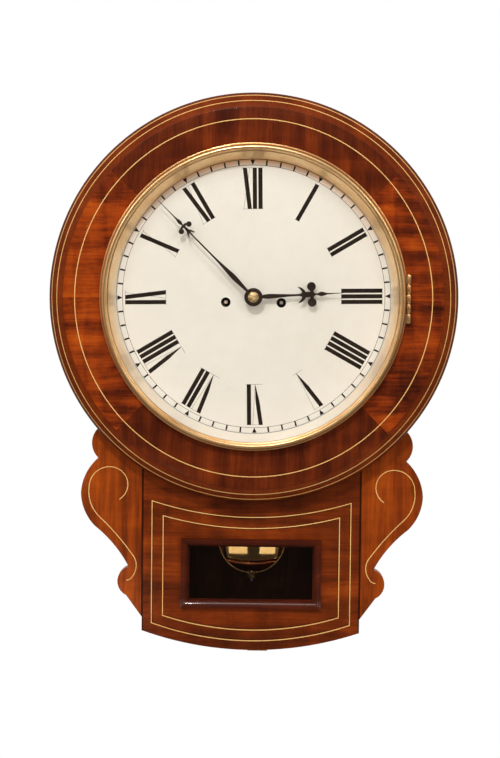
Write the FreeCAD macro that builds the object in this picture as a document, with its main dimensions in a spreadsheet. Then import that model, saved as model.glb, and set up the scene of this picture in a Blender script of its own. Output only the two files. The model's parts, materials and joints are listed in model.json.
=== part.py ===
import FreeCAD, Part

import math
import os

import Sketcher
from FreeCAD import Placement, Rotation, Vector

# Drop dial wall clock in inlaid mahogany, with a striking spring movement.
# Lengths are in millimetres. The wall is the plane y = 0, the front faces -Y, +Z is up.
# A size that starts with = follows other sizes, as a formula of the sheet.
# The origin is the centre of the hanging hole, on the wall.

doc = FreeCAD.newDocument("drop_dial_clock")
sheet = doc.addObject("Spreadsheet::Sheet", "Sizes")

SIZES = {
    # Shared allowances
    "overrun": 2.0,
    "running_gap": 0.05,
    "fitting_gap": 0.3,
    "screw_radius": 2.0,
    "screw_head_radius": 3.8,
    "screw_head_height": 1.4,
    # Where the dial hangs
    "hang_to_dial": 170.0,
    # Box behind the dial and the trunk below it
    "box_inside_bore": 22.5,
    "box_width": "=(surround_bore - box_inside_bore) * 2",
    "box_depth": 112.0,
    "box_above_bore": 7.0,
    "box_above_dial": "=surround_bore + box_above_bore",
    "board_thickness": 10.0,
    "backboard_thickness": 9.0,
    "trunk_front_thickness": 16.0,
    "trunk_below_bore": 7.0,
    "trunk_front_top_drop": "=surround_bore + trunk_below_bore",
    "trunk_height": 221.5,
    "trunk_corner_drop": "=trunk_front_top_drop + trunk_height",
    "trunk_arc_depth": 20.5,
    # Turned surround
    "surround_radius": 222.5,
    "surround_thickness": 32.0,
    "rebate_ledge": 17.0,
    "surround_bore": "=rebate_radius - rebate_ledge",
    "moulding_width": 16.0,
    "face_radius": "=surround_radius - moulding_width",
    "quirk_step": 1.4,
    "moulding_fall": 15.0,
    "moulding_radius": 19.0,
    "edge_round": 2.2,
    "face_width": 46.5,
    "rebate_radius": "=face_radius - face_width",
    "rebate_depth": 15.6,
    # Cleats and pegs that hold the surround to the box
    "cleat_width": 12.0,
    "cleat_depth": 28.0,
    "cleat_height": 210.0,
    "peg_radius": 4.0,
    "peg_length": 26.0,
    "peg_height": 88.0,
    "peg_inset": 13.0,
    # Boxwood lines
    "string_width": 1.5,
    "string_depth": 1.2,
    "face_string_inset": 13.1,
    "face_string_radius": "=face_radius - face_string_inset",
    "inner_edge_string_inset": 9.2,
    "inner_edge_string_radius": "=surround_radius - inner_edge_string_inset",
    "outer_edge_string_inset": 3.2,
    "outer_edge_string_radius": "=surround_radius - outer_edge_string_inset",
    "outer_frame_inset": 10.7,
    "outer_frame_half_width": "=box_width / 2 - outer_frame_inset",
    "outer_frame_height": 136.2,
    "outer_frame_top_drop": "=outer_frame_foot_drop - outer_frame_height",
    "outer_frame_top_dip": 17.2,
    "outer_frame_above_corner": 8.5,
    "outer_frame_foot_drop": "=trunk_corner_drop - outer_frame_above_corner",
    "outer_frame_foot_dip": 18.7,
    "frame_spacing": 12.4,
    "inner_frame_half_width": "=outer_frame_half_width - frame_spacing",
    "inner_frame_height": 111.4,
    "inner_frame_top_drop": "=inner_frame_foot_drop - inner_frame_height",
    "inner_frame_top_dip": 13.0,
    "inner_frame_above_corner": 16.9,
    "inner_frame_foot_drop": "=trunk_corner_drop - inner_frame_above_corner",
    "inner_frame_foot_dip": 15.1,
    # Pendulum window
    "window_above_corner": 65.2,
    "window_drop": "=trunk_corner_drop - window_above_corner",
    "window_width": 139.4,
    "window_height": 61.6,
    "window_moulding_width": 7.6,
    "window_moulding_proud": 5.0,
    "window_moulding_edge": 1.4,
    "window_cover": 2.6,
    "window_glass_thickness": 2.0,
    "bead_width": 4.0,
    # Ears
    "ear_above_trunk": 1.5,
    "ear_top_drop": "=trunk_front_top_drop - ear_above_trunk",
    "ear_width": 68.4,
    "ear_height": 208.5,
    "ear_thickness": 16.0,
    "ear_setback": 1.6,
    # Side door
    "side_door_top_drop": 62.0,
    "side_door_height": 108.0,
    "side_door_depth": 62.0,
    "side_door_from_back": 21.0,
    "door_gap": 0.5,
    "door_pin_radius": 1.5,
    "door_knuckle_radius": 3.0,
    "door_knuckle_length": 14.0,
    "door_knuckle_inset": 24.0,
    "door_leaf_reach": 9.0,
    "bottom_hinge_spread": 25.0,
    "button_offset": 6.0,
    "button_length": 22.0,
    "button_width": 6.0,
    "button_thickness": 2.0,
    # Bottom door
    "bottom_door_width": 160.0,
    "bottom_door_thickness": 9.0,
    "bottom_door_front_gap": 4.0,
    # Hanging plate
    "hanging_plate_width": 44.0,
    "hanging_plate_thickness": 2.5,
    "hanging_plate_above": 15.0,
    "hanging_plate_top_rise": 11.0,
    "hanging_plate_below": 66.0,
    "hanging_hole_radius": 4.5,
    "hanging_screw_spread": 28.0,
    "hanging_screw_drop": 10.0,
    "hanging_screw_pitch": 20.0,
    # Bezel
    "bezel_cover": 6.5,
    "bezel_radius": "=rebate_radius + bezel_cover",
    "bezel_flange": 2.0,
    "bezel_height": 13.0,
    "bezel_lip_width": 2.0,
    "bezel_lip_radius": "=bezel_seat_radius - bezel_lip_width",
    "bezel_bead_inset": 4.5,
    "bezel_bead_radius": "=bezel_radius - bezel_bead_inset",
    "bezel_bead_round": 9.0,
    "bezel_crest_round": 4.5,
    "bezel_seat_gap": 1.0,
    "bezel_seat_radius": "=rebate_radius - bezel_seat_gap",
    "bezel_seat_wall": 1.0,
    "bezel_lip_thickness": 2.0,
    "glass_gap": 0.4,
    "glass_radius": "=bezel_seat_radius - glass_gap",
    "glass_thickness": 2.4,
    "sight_run": 9.1,
    "sight_radius": "=glass_radius - sight_run",
    "sight_wall": 1.2,
    "sight_to_dial": 2.2,
    "hinge_barrel_radius": 2.6,
    "hinge_barrel_offset": 1.0,
    "hinge_pin_radius": 1.0,
    "hinge_length": 53.0,
    "hinge_knuckle_gap": 0.25,
    "hinge_leaf_thickness": 1.2,
    "hinge_leaf_depth": 12.0,
    "leaf_pin_radius": 1.1,
    "leaf_pin_offset": 8.0,
    "catch_radius": 1.6,
    "catch_length": 7.0,
    # Dial
    "dial_gap": 1.0,
    "dial_radius": "=rebate_radius - dial_gap",
    "dial_thickness": 1.6,
    "dial_hole_radius": 6.2,
    "winding_hole_radius": 5.2,
    "winding_half_spread": 30.2,
    "winding_drop": 6.1,
    "dial_screw_inset": 4.2,
    "dial_screw_radius": "=dial_radius - dial_screw_inset",
    "dial_foot_length": 17.0,
    "foot_radius": 4.0,
    "foot_tail_radius": 1.8,
    "foot_half_spread": 66.0,
    "foot_rise": 60.0,
    "foot_drop": 70.0,
    # Hands
    "hour_hand_above_dial": 8.0,
    "minute_above_hour_hand": 4.0,
    "hand_thickness": 1.1,
    "minute_hand_inset": 5.0,
    "minute_hand_length": "=sight_radius - minute_hand_inset",
    "hour_hand_shorter_by": 47.0,
    "hour_hand_length": "=minute_hand_length - hour_hand_shorter_by",
    "hand_boss_radius": 9.4,
    "hour_boss_radius": 7.5,
    "collet_radius": 5.6,
    "collet_height": 3.0,
    # Movement plates
    "plate_thickness": 3.0,
    "plate_half_width": 75.0,
    "plate_rise": 82.0,
    "plate_drop": 88.0,
    "plate_gap": 42.0,
    "pillar_radius": 5.0,
    "pillar_half_spread": 68.0,
    "pillar_rise": 70.0,
    "pillar_drop": 81.0,
    # Arbors
    "winding_arbor_radius": 3.0,
    "winding_square": 3.6,
    "square_below_dial": 3.0,
    "wheel_arbor_radius": 1.5,
    "fine_arbor_radius": 0.85,
    "pivot_radius": 0.8,
    "pivot_end": 0.5,
    "wheel_thickness": 2.0,
    "pinion_length": 5.0,
    "hub_radius": 6.0,
    "small_hub_radius": 3.0,
    # Barrels and fusees
    "barrel_spread": 46.0,
    "barrel_drop": 58.0,
    "barrel_radius": 24.0,
    "barrel_wall": 1.2,
    "barrel_from_front": 5.0,
    "barrel_length": 32.0,
    "ratchet_radius": 7.0,
    "ratchet_thickness": 1.5,
    "fusee_small_radius": 9.0,
    "fusee_large_radius": 18.0,
    "fusee_from_front": 12.0,
    "fusee_length": 20.0,
    "fusee_curve": 45.0,
    "line_radius": 0.6,
    "line_level": 21.0,
    # Wheel levels, from the back of the front plate
    "great_wheel_level": 33.0,
    "great_wheel_thickness": 2.6,
    "centre_wheel_level": 4.0,
    "third_wheel_level": 24.0,
    "escape_wheel_level": 34.0,
    "pin_wheel_level": 8.0,
    "pallet_wheel_level": 20.0,
    "warning_wheel_level": 29.0,
    # Modules of the wheels
    "going_module": 0.6,
    "pin_module": 0.5,
    "gathering_module": 0.45,
    "warning_module": 0.42,
    "cannon_module": 0.65,
    # Escapement and pendulum
    "escape_height": 46.0,
    "escape_radius": 13.0,
    "escape_tooth_depth": 2.6,
    "pallet_height": 65.15,
    "crutch_drop": 74.0,
    "crutch_width": 3.0,
    "crutch_from_plate": 3.0,
    "crutch_pin_radius": 0.75,
    "cock_reach": 10.4,
    "cock_half_width": 16.0,
    "cock_leg": 5.0,
    "cock_height": 16.0,
    "cock_bridge": 3.0,
    "chops_half_width": 6.0,
    "chops_depth": 7.0,
    "chops_height": 7.0,
    "spring_thickness": 0.3,
    "spring_width": 6.0,
    "spring_length": 12.0,
    "spring_block": 6.0,
    "bob_above_window": 28.45,
    "pendulum_length": "=window_drop - bob_above_window + pallet_height",
    "rod_radius": 1.6,
    "rod_below_bob": 9.0,
    "bob_radius": 38.0,
    "bob_half_thickness": 7.5,
    "bob_edge": 1.0,
    "nut_radius": 6.0,
    "nut_height": 5.0,
    # Motion work, on the front plate
    "motion_wheel_gap": 3.5,
    "motion_wheel_thickness": 1.5,
    "cannon_outer_radius": 2.6,
    "hour_pipe_radius": 4.0,
    "snail_thickness": 1.2,
    "snail_high_radius": 18.0,
    "snail_low_radius": 8.0,
    "stud_radius": 1.5,
    # Striking work
    "rack_pivot_x": 52.0,
    "rack_pivot_drop": 2.0,
    "rack_radius": 33.0,
    "rack_tail": 50.0,
    "rack_rim": 3.0,
    "rack_tooth_depth": 0.75,
    "lever_thickness": 1.5,
    "lever_width": 3.0,
    "lever_boss_radius": 3.0,
    "rack_from_plate": 10.6,
    "gathering_finger": 4.4,
    "hook_pivot_x": 58.0,
    "hook_pivot_rise": 42.0,
    "lifting_pivot_x": 24.0,
    "lifting_pivot_drop": 34.0,
    "lifting_arm": 19.2,
    "warning_arm": 28.8,
    "pin_circle_radius": 13.0,
    "pin_radius": 0.8,
    "pin_length": 5.0,
    "fly_radius": 9.0,
    "fly_length": 15.0,
    "fly_from_front": 2.0,
    "fly_thickness": 0.8,
    "hammer_pivot_x": 53.0,
    "hammer_pivot_rise": 40.0,
    "hammer_tail": 9.6,
    "hammer_head_radius": 4.0,
    "hammer_head_length": 9.0,
    "hammer_rod_radius": 1.2,
    # Bell above the plates
    "bell_radius": 36.0,
    "bell_height": 26.0,
    "bell_wall": 2.0,
    "bell_rim_rise": 88.0,
    "bell_x": 12.2,
    "bell_y": 80.0,
    "bell_post_radius": 2.5,
    "bell_stand_half_width": 5.0,
}

CELLS = {name: number for number, name in enumerate(SIZES, 1)}
for name, number in CELLS.items():
    sheet.set(f"A{number}", name)
    sheet.setAlias(f"B{number}", name)
plain_sizes = [name for name in SIZES if not isinstance(SIZES[name], str)]
following_sizes = [name for name in SIZES if isinstance(SIZES[name], str)]
for name in plain_sizes:
    sheet.set(f"B{CELLS[name]}", str(SIZES[name]))
doc.recompute()
for name in following_sizes:
    sheet.set(f"B{CELLS[name]}", SIZES[name])
doc.recompute()


class Size:
    """A number together with the sheet formula that gives it."""

    def __init__(self, value, text):
        self.value = value
        self.text = text

    def joined(self, other, sign, value, turned=False):
        text = other.text if isinstance(other, Size) else repr(other)
        first, last = (text, self.text) if turned else (self.text, text)
        return Size(value, f"({first} {sign} {last})")

    def __add__(self, other):
        return self.joined(other, "+", self.value + float(other))

    def __radd__(self, other):
        return self.joined(other, "+", float(other) + self.value, True)

    def __sub__(self, other):
        return self.joined(other, "-", self.value - float(other))

    def __rsub__(self, other):
        return self.joined(other, "-", float(other) - self.value, True)

    def __mul__(self, other):
        return self.joined(other, "*", self.value * float(other))

    def __rmul__(self, other):
        return self.joined(other, "*", float(other) * self.value, True)

    def __truediv__(self, other):
        return self.joined(other, "/", self.value / float(other))

    def __neg__(self):
        return Size(-self.value, f"(-{self.text})")

    def __float__(self):
        return float(self.value)


class Sheet:
    """Each cell of the sheet as a Size, by its alias."""

    def __getattr__(self, name):
        return Size(float(sheet.get(name)), f"Sizes.{name}")


s = Sheet()
nodes = []


def root_of(value):
    """The square root of a size."""
    return Size(math.sqrt(float(value)), f"sqrt({value.text})")


def bind(thing, name, value):
    """Bind one property to a formula, or set it to a plain number."""
    if isinstance(value, Size):
        thing.setExpression(name, value.text)
    else:
        thing.setExpression(name, str(float(value)))


def place(thing, x=0, y=0, z=0):
    """Bind where a thing stands."""
    bind(thing, "Placement.Base.x", x)
    bind(thing, "Placement.Base.y", y)
    bind(thing, "Placement.Base.z", z)
    return thing


def node(thing, label):
    """Name a thing as one sub-part of the clock."""
    thing.Label = label
    nodes.append(thing)
    return thing


def box(name, low, high):
    """A block between two corners, each an (x, y, z)."""
    thing = doc.addObject("Part::Box", name)
    for size_name, a, b in zip(("Length", "Width", "Height"), low, high):
        bind(thing, size_name, b - a)
    return place(thing, *low)


def rod(name, radius, x, z, back, front):
    """A cylinder along the depth, from its back plane forward."""
    thing = doc.addObject("Part::Cylinder", name)
    bind(thing, "Radius", radius)
    bind(thing, "Height", back - front)
    thing.Placement = Placement(Vector(), Rotation(Vector(1, 0, 0), 90))
    return place(thing, x, back, z)


def bar(name, radius, x, y, bottom, top):
    """A cylinder upright along Z."""
    thing = doc.addObject("Part::Cylinder", name)
    bind(thing, "Radius", radius)
    bind(thing, "Height", top - bottom)
    return place(thing, x, y, bottom)


def pin_across(name, radius, left, right, y, z):
    """A cylinder along X."""
    thing = doc.addObject("Part::Cylinder", name)
    bind(thing, "Radius", radius)
    bind(thing, "Height", right - left)
    thing.Placement = Placement(Vector(), Rotation(Vector(0, 1, 0), 90))
    return place(thing, left, y, z)


def cut(name, base, tools):
    """A thing less one or more tools that lie apart."""
    tool = tools[0]
    if len(tools) > 1:
        tool = doc.addObject("Part::Compound", f"{name}_tools")
        tool.Links = tools
    thing = doc.addObject("Part::Cut", name)
    thing.Base = base
    thing.Tool = tool
    return thing


def fuse(name, things):
    """Several things joined into one solid."""
    thing = doc.addObject("Part::MultiFuse", name)
    thing.Shapes = things
    return thing


def common(name, things):
    """What several things share."""
    thing = doc.addObject("Part::MultiCommon", name)
    thing.Shapes = things
    return thing


def group(name, things):
    """Several separate solids kept as one thing."""
    thing = doc.addObject("Part::Compound", name)
    thing.Links = things
    return thing


def feature(name, shape):
    """A thing whose shape is worked out here from the sheet."""
    thing = doc.addObject("Part::Feature", name)
    thing.Shape = shape
    return thing


def plane_of(body, role):
    """One of a body's own origin planes."""
    return next(f for f in body.Origin.OriginFeatures if f.Role == role)


def arc_between(a, b, radius):
    """An anticlockwise arc that joins a and b.

    A positive radius bulges to the right of the way from a to b.
    """
    start, end = (a, b) if radius > 0 else (b, a)
    chord = end - start
    half = chord.Length / 2
    side = Vector(chord.y, -chord.x, 0).normalize()
    reach = math.sqrt(max(radius * radius - half * half, 0))
    middle = (start + end) / 2 + side * (abs(radius) - reach)
    return Part.Arc(start, middle, end)


def sketch_outline(sketch, points):
    """Draw a closed outline through (u, v) or (u, v, radius), each corner bound to the sheet.

    A radius bends the edge that follows its corner.
    """
    corners = [Vector(float(p[0]), float(p[1]), 0) for p in points]
    edges = []
    for number, point in enumerate(points):
        a, b = corners[number], corners[(number + 1) % len(points)]
        if len(point) > 2:
            radius = float(point[2])
            edge = sketch.addGeometry(arc_between(a, b, radius), False)
            edges.append((edge, (1, 2) if radius > 0 else (2, 1)))
        else:
            edges.append((sketch.addGeometry(Part.LineSegment(a, b), False), (1, 2)))
    for number, point in enumerate(points):
        edge, ends = edges[number]
        after, after_ends = edges[(number + 1) % len(points)]
        sketch.addConstraint(
            Sketcher.Constraint("Coincident", edge, ends[1], after, after_ends[0])
        )
        for kind, value in (("DistanceX", point[0]), ("DistanceY", point[1])):
            index = sketch.addConstraint(
                Sketcher.Constraint(kind, -1, 1, edge, ends[0], float(value))
            )
            bind(sketch, f"Constraints[{index}]", value)
        if len(point) > 2:
            radius = point[2] if float(point[2]) > 0 else -point[2]
            index = sketch.addConstraint(
                Sketcher.Constraint("Radius", edge, abs(float(point[2])))
            )
            bind(sketch, f"Constraints[{index}]", radius)


def sketch_in(body, name, role, points):
    """A closed sketch on one of a body's origin planes."""
    sketch = body.newObject("Sketcher::SketchObject", name)
    sketch.AttachmentSupport = [(plane_of(body, role), "")]
    sketch.MapMode = "FlatFace"
    sketch_outline(sketch, points)
    return sketch


def turned(name, points, x=0, z=0):
    """A body turned about an axis along the depth, from corners (radius, y)."""
    body = doc.addObject("PartDesign::Body", name)
    sketch = sketch_in(body, f"{name}_profile", "XY_Plane", points)
    turn = body.newObject("PartDesign::Revolution", f"{name}_turn")
    turn.Profile = sketch
    turn.ReferenceAxis = (sketch, ["V_Axis"])
    turn.Angle = 360
    sketch.Visibility = False
    return place(body, x, 0, z)


def turned_upright(name, points, x=0, y=0, z=0):
    """A body turned about an upright axis, from corners (radius, z)."""
    body = doc.addObject("PartDesign::Body", name)
    sketch = sketch_in(body, f"{name}_profile", "XZ_Plane", points)
    turn = body.newObject("PartDesign::Revolution", f"{name}_turn")
    turn.Profile = sketch
    turn.ReferenceAxis = (sketch, ["V_Axis"])
    turn.Angle = 360
    return place(body, x, y, z)


def board(name, points, back, front, x=0, z=0):
    """A flat body with an outline of corners (x, z), from its back plane forward."""
    body = doc.addObject("PartDesign::Body", name)
    sketch = sketch_in(body, f"{name}_outline", "XZ_Plane", points)
    pad = body.newObject("PartDesign::Pad", f"{name}_pad")
    pad.Profile = sketch
    bind(pad, "Length", back - front)
    return place(body, x, back, z)


def arc_radius(half_chord, rise):
    """The radius of an arc from half its chord and its rise."""
    return (half_chord * half_chord + rise * rise) / (rise * 2)


# Planes along the depth
dial_z = -s.hang_to_dial
surround_back = -s.box_depth
face_front = surround_back - s.surround_thickness
rebate_floor = face_front + s.rebate_depth
dial_back = rebate_floor
dial_front = dial_back - s.dial_thickness
trunk_front_back = surround_back + s.trunk_front_thickness
inside_back = -s.backboard_thickness
half_box = s.box_width / 2
half_inside = half_box - s.board_thickness
box_top = dial_z + s.box_above_dial
trunk_top = dial_z - s.trunk_front_top_drop
trunk_corner = dial_z - s.trunk_corner_drop
trunk_arc = arc_radius(half_box, s.trunk_arc_depth)
trunk_arc_centre = trunk_corner - s.trunk_arc_depth + trunk_arc


def framed_outline(half_width, top_drop, top_dip, foot_drop, foot_dip):
    """A frame with straight sides whose top and foot both sag downward, about the dial."""
    return [
        (-half_width, -top_drop),
        (-half_width, -foot_drop, arc_radius(half_width, foot_dip)),
        (half_width, -foot_drop),
        (half_width, -top_drop, -arc_radius(half_width, top_dip)),
    ]


# Surround
def surround_profile():
    """The turned section of the surround, as corners (radius, y)."""
    quirk = face_front + s.quirk_step
    return [
        (s.surround_bore, surround_back),
        (s.surround_radius - s.edge_round, surround_back, -s.edge_round),
        (s.surround_radius, surround_back - s.edge_round),
        (s.surround_radius, quirk + s.moulding_fall, -s.moulding_radius),
        (s.face_radius, quirk),
        (s.face_radius, face_front),
        (s.rebate_radius, face_front),
        (s.rebate_radius, rebate_floor),
        (s.surround_bore, rebate_floor),
    ]


def string_tube(name, radius, depth_plane):
    """A ring-shaped cutter for one boxwood line, open to the front."""
    half = s.string_width / 2
    return turned(
        name,
        [
            (radius - half, depth_plane),
            (radius + half, depth_plane),
            (radius + half, face_front - s.overrun),
            (radius - half, face_front - s.overrun),
        ],
        0,
        dial_z,
    )


def moulding_plane(radius):
    """How far back the moulding's surface lies at a radius."""
    centre_r, centre_y = moulding_centre()
    across = radius - centre_r
    return centre_y - root_of(s.moulding_radius * s.moulding_radius - across * across)


def moulding_centre():
    """The centre of the moulding's arc, as (radius, y)."""
    low = face_front + s.quirk_step
    run = s.surround_radius - s.face_radius
    half_chord = root_of(run * run + s.moulding_fall * s.moulding_fall) / 2
    reach = root_of(s.moulding_radius * s.moulding_radius - half_chord * half_chord)
    centre_r = (s.surround_radius + s.face_radius) / 2 - reach * s.moulding_fall / (half_chord * 2)
    centre_y = low + s.moulding_fall / 2 + reach * run / (half_chord * 2)
    return centre_r, centre_y


string_planes = [
    (s.face_string_radius, face_front + s.string_depth),
    (
        s.inner_edge_string_radius,
        moulding_plane(s.inner_edge_string_radius) + s.string_depth,
    ),
    (
        s.outer_edge_string_radius,
        moulding_plane(s.outer_edge_string_radius) + s.string_depth,
    ),
]
hinge_x = s.bezel_radius + s.hinge_barrel_offset
hinge_y = face_front - s.hinge_barrel_radius
hinge_low = dial_z - s.hinge_length / 2
hinge_high = dial_z + s.hinge_length / 2
leaf_left = hinge_x - s.hinge_leaf_thickness / 2
leaf_right = hinge_x + s.hinge_leaf_thickness / 2
leaf_pin_x = hinge_x + s.leaf_pin_offset
catch_x = -(s.bezel_radius + s.rebate_radius) / 2


def spaced_screws():
    """The places (x, z) of the four screws that hold the dial, about the dial centre."""
    for quarter in range(4):
        angle = math.radians(45 + 90 * quarter)
        yield s.dial_screw_radius * math.cos(angle), s.dial_screw_radius * math.sin(angle)


surround_blank = turned("surround_blank", surround_profile(), 0, dial_z)
surround_cutters = [
    string_tube(f"surround_string_cut_{number}", radius, plane)
    for number, (radius, plane) in enumerate(string_planes)
]
surround_cutters.append(
    box(
        "hinge_mortise",
        (leaf_left, face_front - s.overrun, hinge_low),
        (leaf_right, face_front + s.hinge_leaf_depth, hinge_high),
    )
)
surround_cutters.append(
    rod(
        "leaf_pin_hole",
        s.leaf_pin_radius,
        leaf_pin_x,
        dial_z,
        face_front + s.hinge_leaf_depth,
        face_front - s.overrun,
    )
)
surround_cutters.append(
    rod(
        "catch_hole",
        s.catch_radius + s.fitting_gap,
        catch_x,
        dial_z,
        face_front + s.catch_length + s.fitting_gap,
        face_front - s.overrun,
    )
)
screw_holes = [
    rod(
        f"dial_screw_hole_{number}",
        s.screw_radius,
        x,
        dial_z + z,
        rebate_floor + s.board_thickness,
        dial_front - s.overrun,
    )
    for number, (x, z) in enumerate(spaced_screws())
]
node(cut("surround", surround_blank, surround_cutters + screw_holes), "dial_surround")

# Cleats on the back of the surround, inside the box, and the pegs that lock them
cleats = []
pegs = []
peg_y = surround_back + s.peg_inset
for side, sign in (("left", -1), ("right", 1)):
    outer = half_inside * sign
    inner = (half_inside - s.cleat_width) * sign
    left, right = (outer, inner) if sign < 0 else (inner, outer)
    blank = box(
        f"cleat_blank_{side}",
        (left, surround_back, dial_z - s.cleat_height / 2),
        (right, surround_back + s.cleat_depth, dial_z + s.cleat_height / 2),
    )
    holes = []
    for level, rise in (("low", -s.peg_height), ("high", s.peg_height)):
        start = half_box - s.peg_length if sign > 0 else -half_box
        end = half_box if sign > 0 else -half_box + s.peg_length
        holes.append(
            pin_across(f"peg_bore_{side}_{level}", s.peg_radius, start, end, peg_y, dial_z + rise)
        )
        pegs.append(
            pin_across(f"peg_{side}_{level}", s.peg_radius, start, end, peg_y, dial_z + rise)
        )
    cleats.append(cut(f"cleat_{side}", blank, holes))
node(group("cleats", cleats), "surround_cleats")
node(group("pegs", pegs), "case_pegs")

# Box: two stepped sides, a top board and the two fixed ends of the curved bottom
side_door_top = dial_z - s.side_door_top_drop
side_door_bottom = side_door_top - s.side_door_height
side_door_back = -s.side_door_from_back
side_door_front = side_door_back - s.side_door_depth
side_button_y = side_door_front - s.button_offset
side_button_z = (side_door_top + side_door_bottom) / 2
side_button_x = half_box + s.door_gap
bottom_low = trunk_corner - s.trunk_arc_depth
bottom_button_y = trunk_front_back - s.button_width / 2 - s.door_gap
bottom_button_z = bottom_low - s.door_gap
button_bore = s.screw_radius + s.running_gap


def side_board(side, sign):
    """One side of the box: deep beside the movement, shallower behind the trunk front."""
    left = half_inside if sign > 0 else -half_box
    right = half_box if sign > 0 else -half_inside
    upper = box(
        f"side_upper_{side}",
        (left, surround_back, trunk_top),
        (right, inside_back, box_top - s.board_thickness),
    )
    lower = box(
        f"side_lower_{side}",
        (left, trunk_front_back, trunk_corner),
        (right, inside_back, trunk_top),
    )
    blank = fuse(f"side_blank_{side}", [upper, lower])
    tools = []
    for level, rise in (("low", -s.peg_height), ("high", s.peg_height)):
        tools.append(
            pin_across(
                f"side_peg_bore_{side}_{level}",
                s.peg_radius,
                left - s.overrun,
                right + s.overrun,
                peg_y,
                dial_z + rise,
            )
        )
    if sign > 0:
        tools.append(
            box(
                "side_door_opening",
                (left - s.overrun, side_door_front, side_door_bottom),
                (right + s.overrun, side_door_back, side_door_top),
            )
        )
        tools.append(
            pin_across(
                "side_button_bore",
                button_bore,
                left + s.overrun,
                right + s.overrun,
                side_button_y,
                side_button_z,
            )
        )
    return cut(f"side_{side}", blank, tools)


door_half = s.bottom_door_width / 2
door_inner_arc = trunk_arc - s.bottom_door_thickness


def arc_height(radius, x):
    """The height of the bottom's curve of a radius at a place across, in the frame of the clock."""
    return trunk_arc_centre - root_of(radius * radius - x * x)


def bottom_strip(name, x_from, x_to, back, front):
    """A curved stretch of the bottom between two places across."""
    return board(
        name,
        [
            (x_from, arc_height(trunk_arc, x_from), trunk_arc),
            (x_to, arc_height(trunk_arc, x_to)),
            (x_to, arc_height(door_inner_arc, x_to), -door_inner_arc),
            (x_from, arc_height(door_inner_arc, x_from)),
        ],
        back,
        front,
    )


top_board = box(
    "top_board",
    (-half_box, surround_back, box_top - s.board_thickness),
    (half_box, inside_back, box_top),
)
bottom_ends = [
    bottom_strip("bottom_end_left", -half_box, -door_half, inside_back, trunk_front_back),
    bottom_strip("bottom_end_right", door_half, half_box, inside_back, trunk_front_back),
]
node(
    group(
        "box_boards_group",
        [side_board("left", -1), side_board("right", 1), top_board] + bottom_ends,
    ),
    "box_boards",
)

# Backboard, with the hanging plate let in flush at its back
plate_shoulder = s.hanging_plate_above - s.hanging_plate_top_rise
plate_bottom = -s.hanging_plate_below
half_plate = s.hanging_plate_width / 2
backboard_blank = board(
    "backboard_blank",
    [
        (-half_box, box_top),
        (-half_box, trunk_corner, trunk_arc),
        (half_box, trunk_corner),
        (half_box, box_top),
    ],
    0,
    inside_back,
)
plate_pocket = box(
    "plate_pocket",
    (-half_plate, -s.hanging_plate_thickness, plate_bottom),
    (half_plate, s.overrun, box_top + s.overrun),
)
hanging_screw_places = [
    (sign * s.hanging_screw_spread / 2, box_top - drop)
    for sign in (-1, 1)
    for drop in (s.hanging_screw_drop, s.hanging_screw_drop + s.hanging_screw_pitch)
]
backboard_screw_holes = [
    rod(
        f"backboard_screw_hole_{number}",
        s.screw_radius,
        x,
        z,
        s.overrun,
        inside_back - s.overrun,
    )
    for number, (x, z) in enumerate(hanging_screw_places)
]
node(
    cut(
        "backboard_holed",
        cut("backboard_cut", backboard_blank, [plate_pocket]),
        backboard_screw_holes,
    ),
    "backboard",
)
plate_blank = board(
    "hanging_plate_blank",
    [
        (-half_plate, plate_bottom),
        (half_plate, plate_bottom),
        (half_plate, plate_shoulder, arc_radius(half_plate, s.hanging_plate_top_rise)),
        (-half_plate, plate_shoulder),
    ],
    0,
    -s.hanging_plate_thickness,
)
plate_holes = [
    rod(
        "hanging_hole",
        s.hanging_hole_radius,
        0,
        0,
        s.overrun,
        -s.hanging_plate_thickness - s.overrun,
    )
] + [
    rod(
        f"plate_screw_hole_{number}",
        s.screw_radius,
        x,
        z,
        s.overrun,
        -s.hanging_plate_thickness - s.overrun,
    )
    for number, (x, z) in enumerate(hanging_screw_places)
]
node(cut("hanging_plate_holed", plate_blank, plate_holes), "hanging_plate")


# Screws of the hanging plate, driven from its back, and of the dial, driven from its front
def plate_screw(number, x, z):
    """A flush screw through the hanging plate and the backboard."""
    return rod(f"plate_screw_{number}", s.screw_radius, x, z, 0, inside_back)


def dial_screw(number, x, z):
    """A round-headed screw through the edge of the dial into the surround."""
    shank = rod(
        f"dial_screw_shank_{number}",
        s.screw_radius,
        x,
        z,
        rebate_floor + s.board_thickness,
        dial_front,
    )
    head = rod(
        f"dial_screw_head_{number}",
        s.screw_head_radius,
        x,
        z,
        dial_front,
        dial_front - s.screw_head_height,
    )
    return fuse(f"dial_screw_{number}", [shank, head])


screws = [plate_screw(number, x, z) for number, (x, z) in enumerate(hanging_screw_places)]
screws += [dial_screw(number, x, dial_z + z) for number, (x, z) in enumerate(spaced_screws())]
node(group("screws", screws), "case_screws")

# Trunk front with its window opening and grooves for the boxwood lines
window_z = dial_z - s.window_drop
opening_half_x = s.window_width / 2 + s.window_cover
opening_half_z = s.window_height / 2 + s.window_cover
trunk_blank = board(
    "trunk_blank",
    [
        (-half_box, trunk_top),
        (-half_box, trunk_corner, trunk_arc),
        (half_box, trunk_corner),
        (half_box, trunk_top),
    ],
    trunk_front_back,
    surround_back,
)
window_cut = box(
    "window_cut",
    (-opening_half_x, surround_back - s.overrun, window_z - opening_half_z),
    (opening_half_x, trunk_front_back + s.overrun, window_z + opening_half_z),
)


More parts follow.
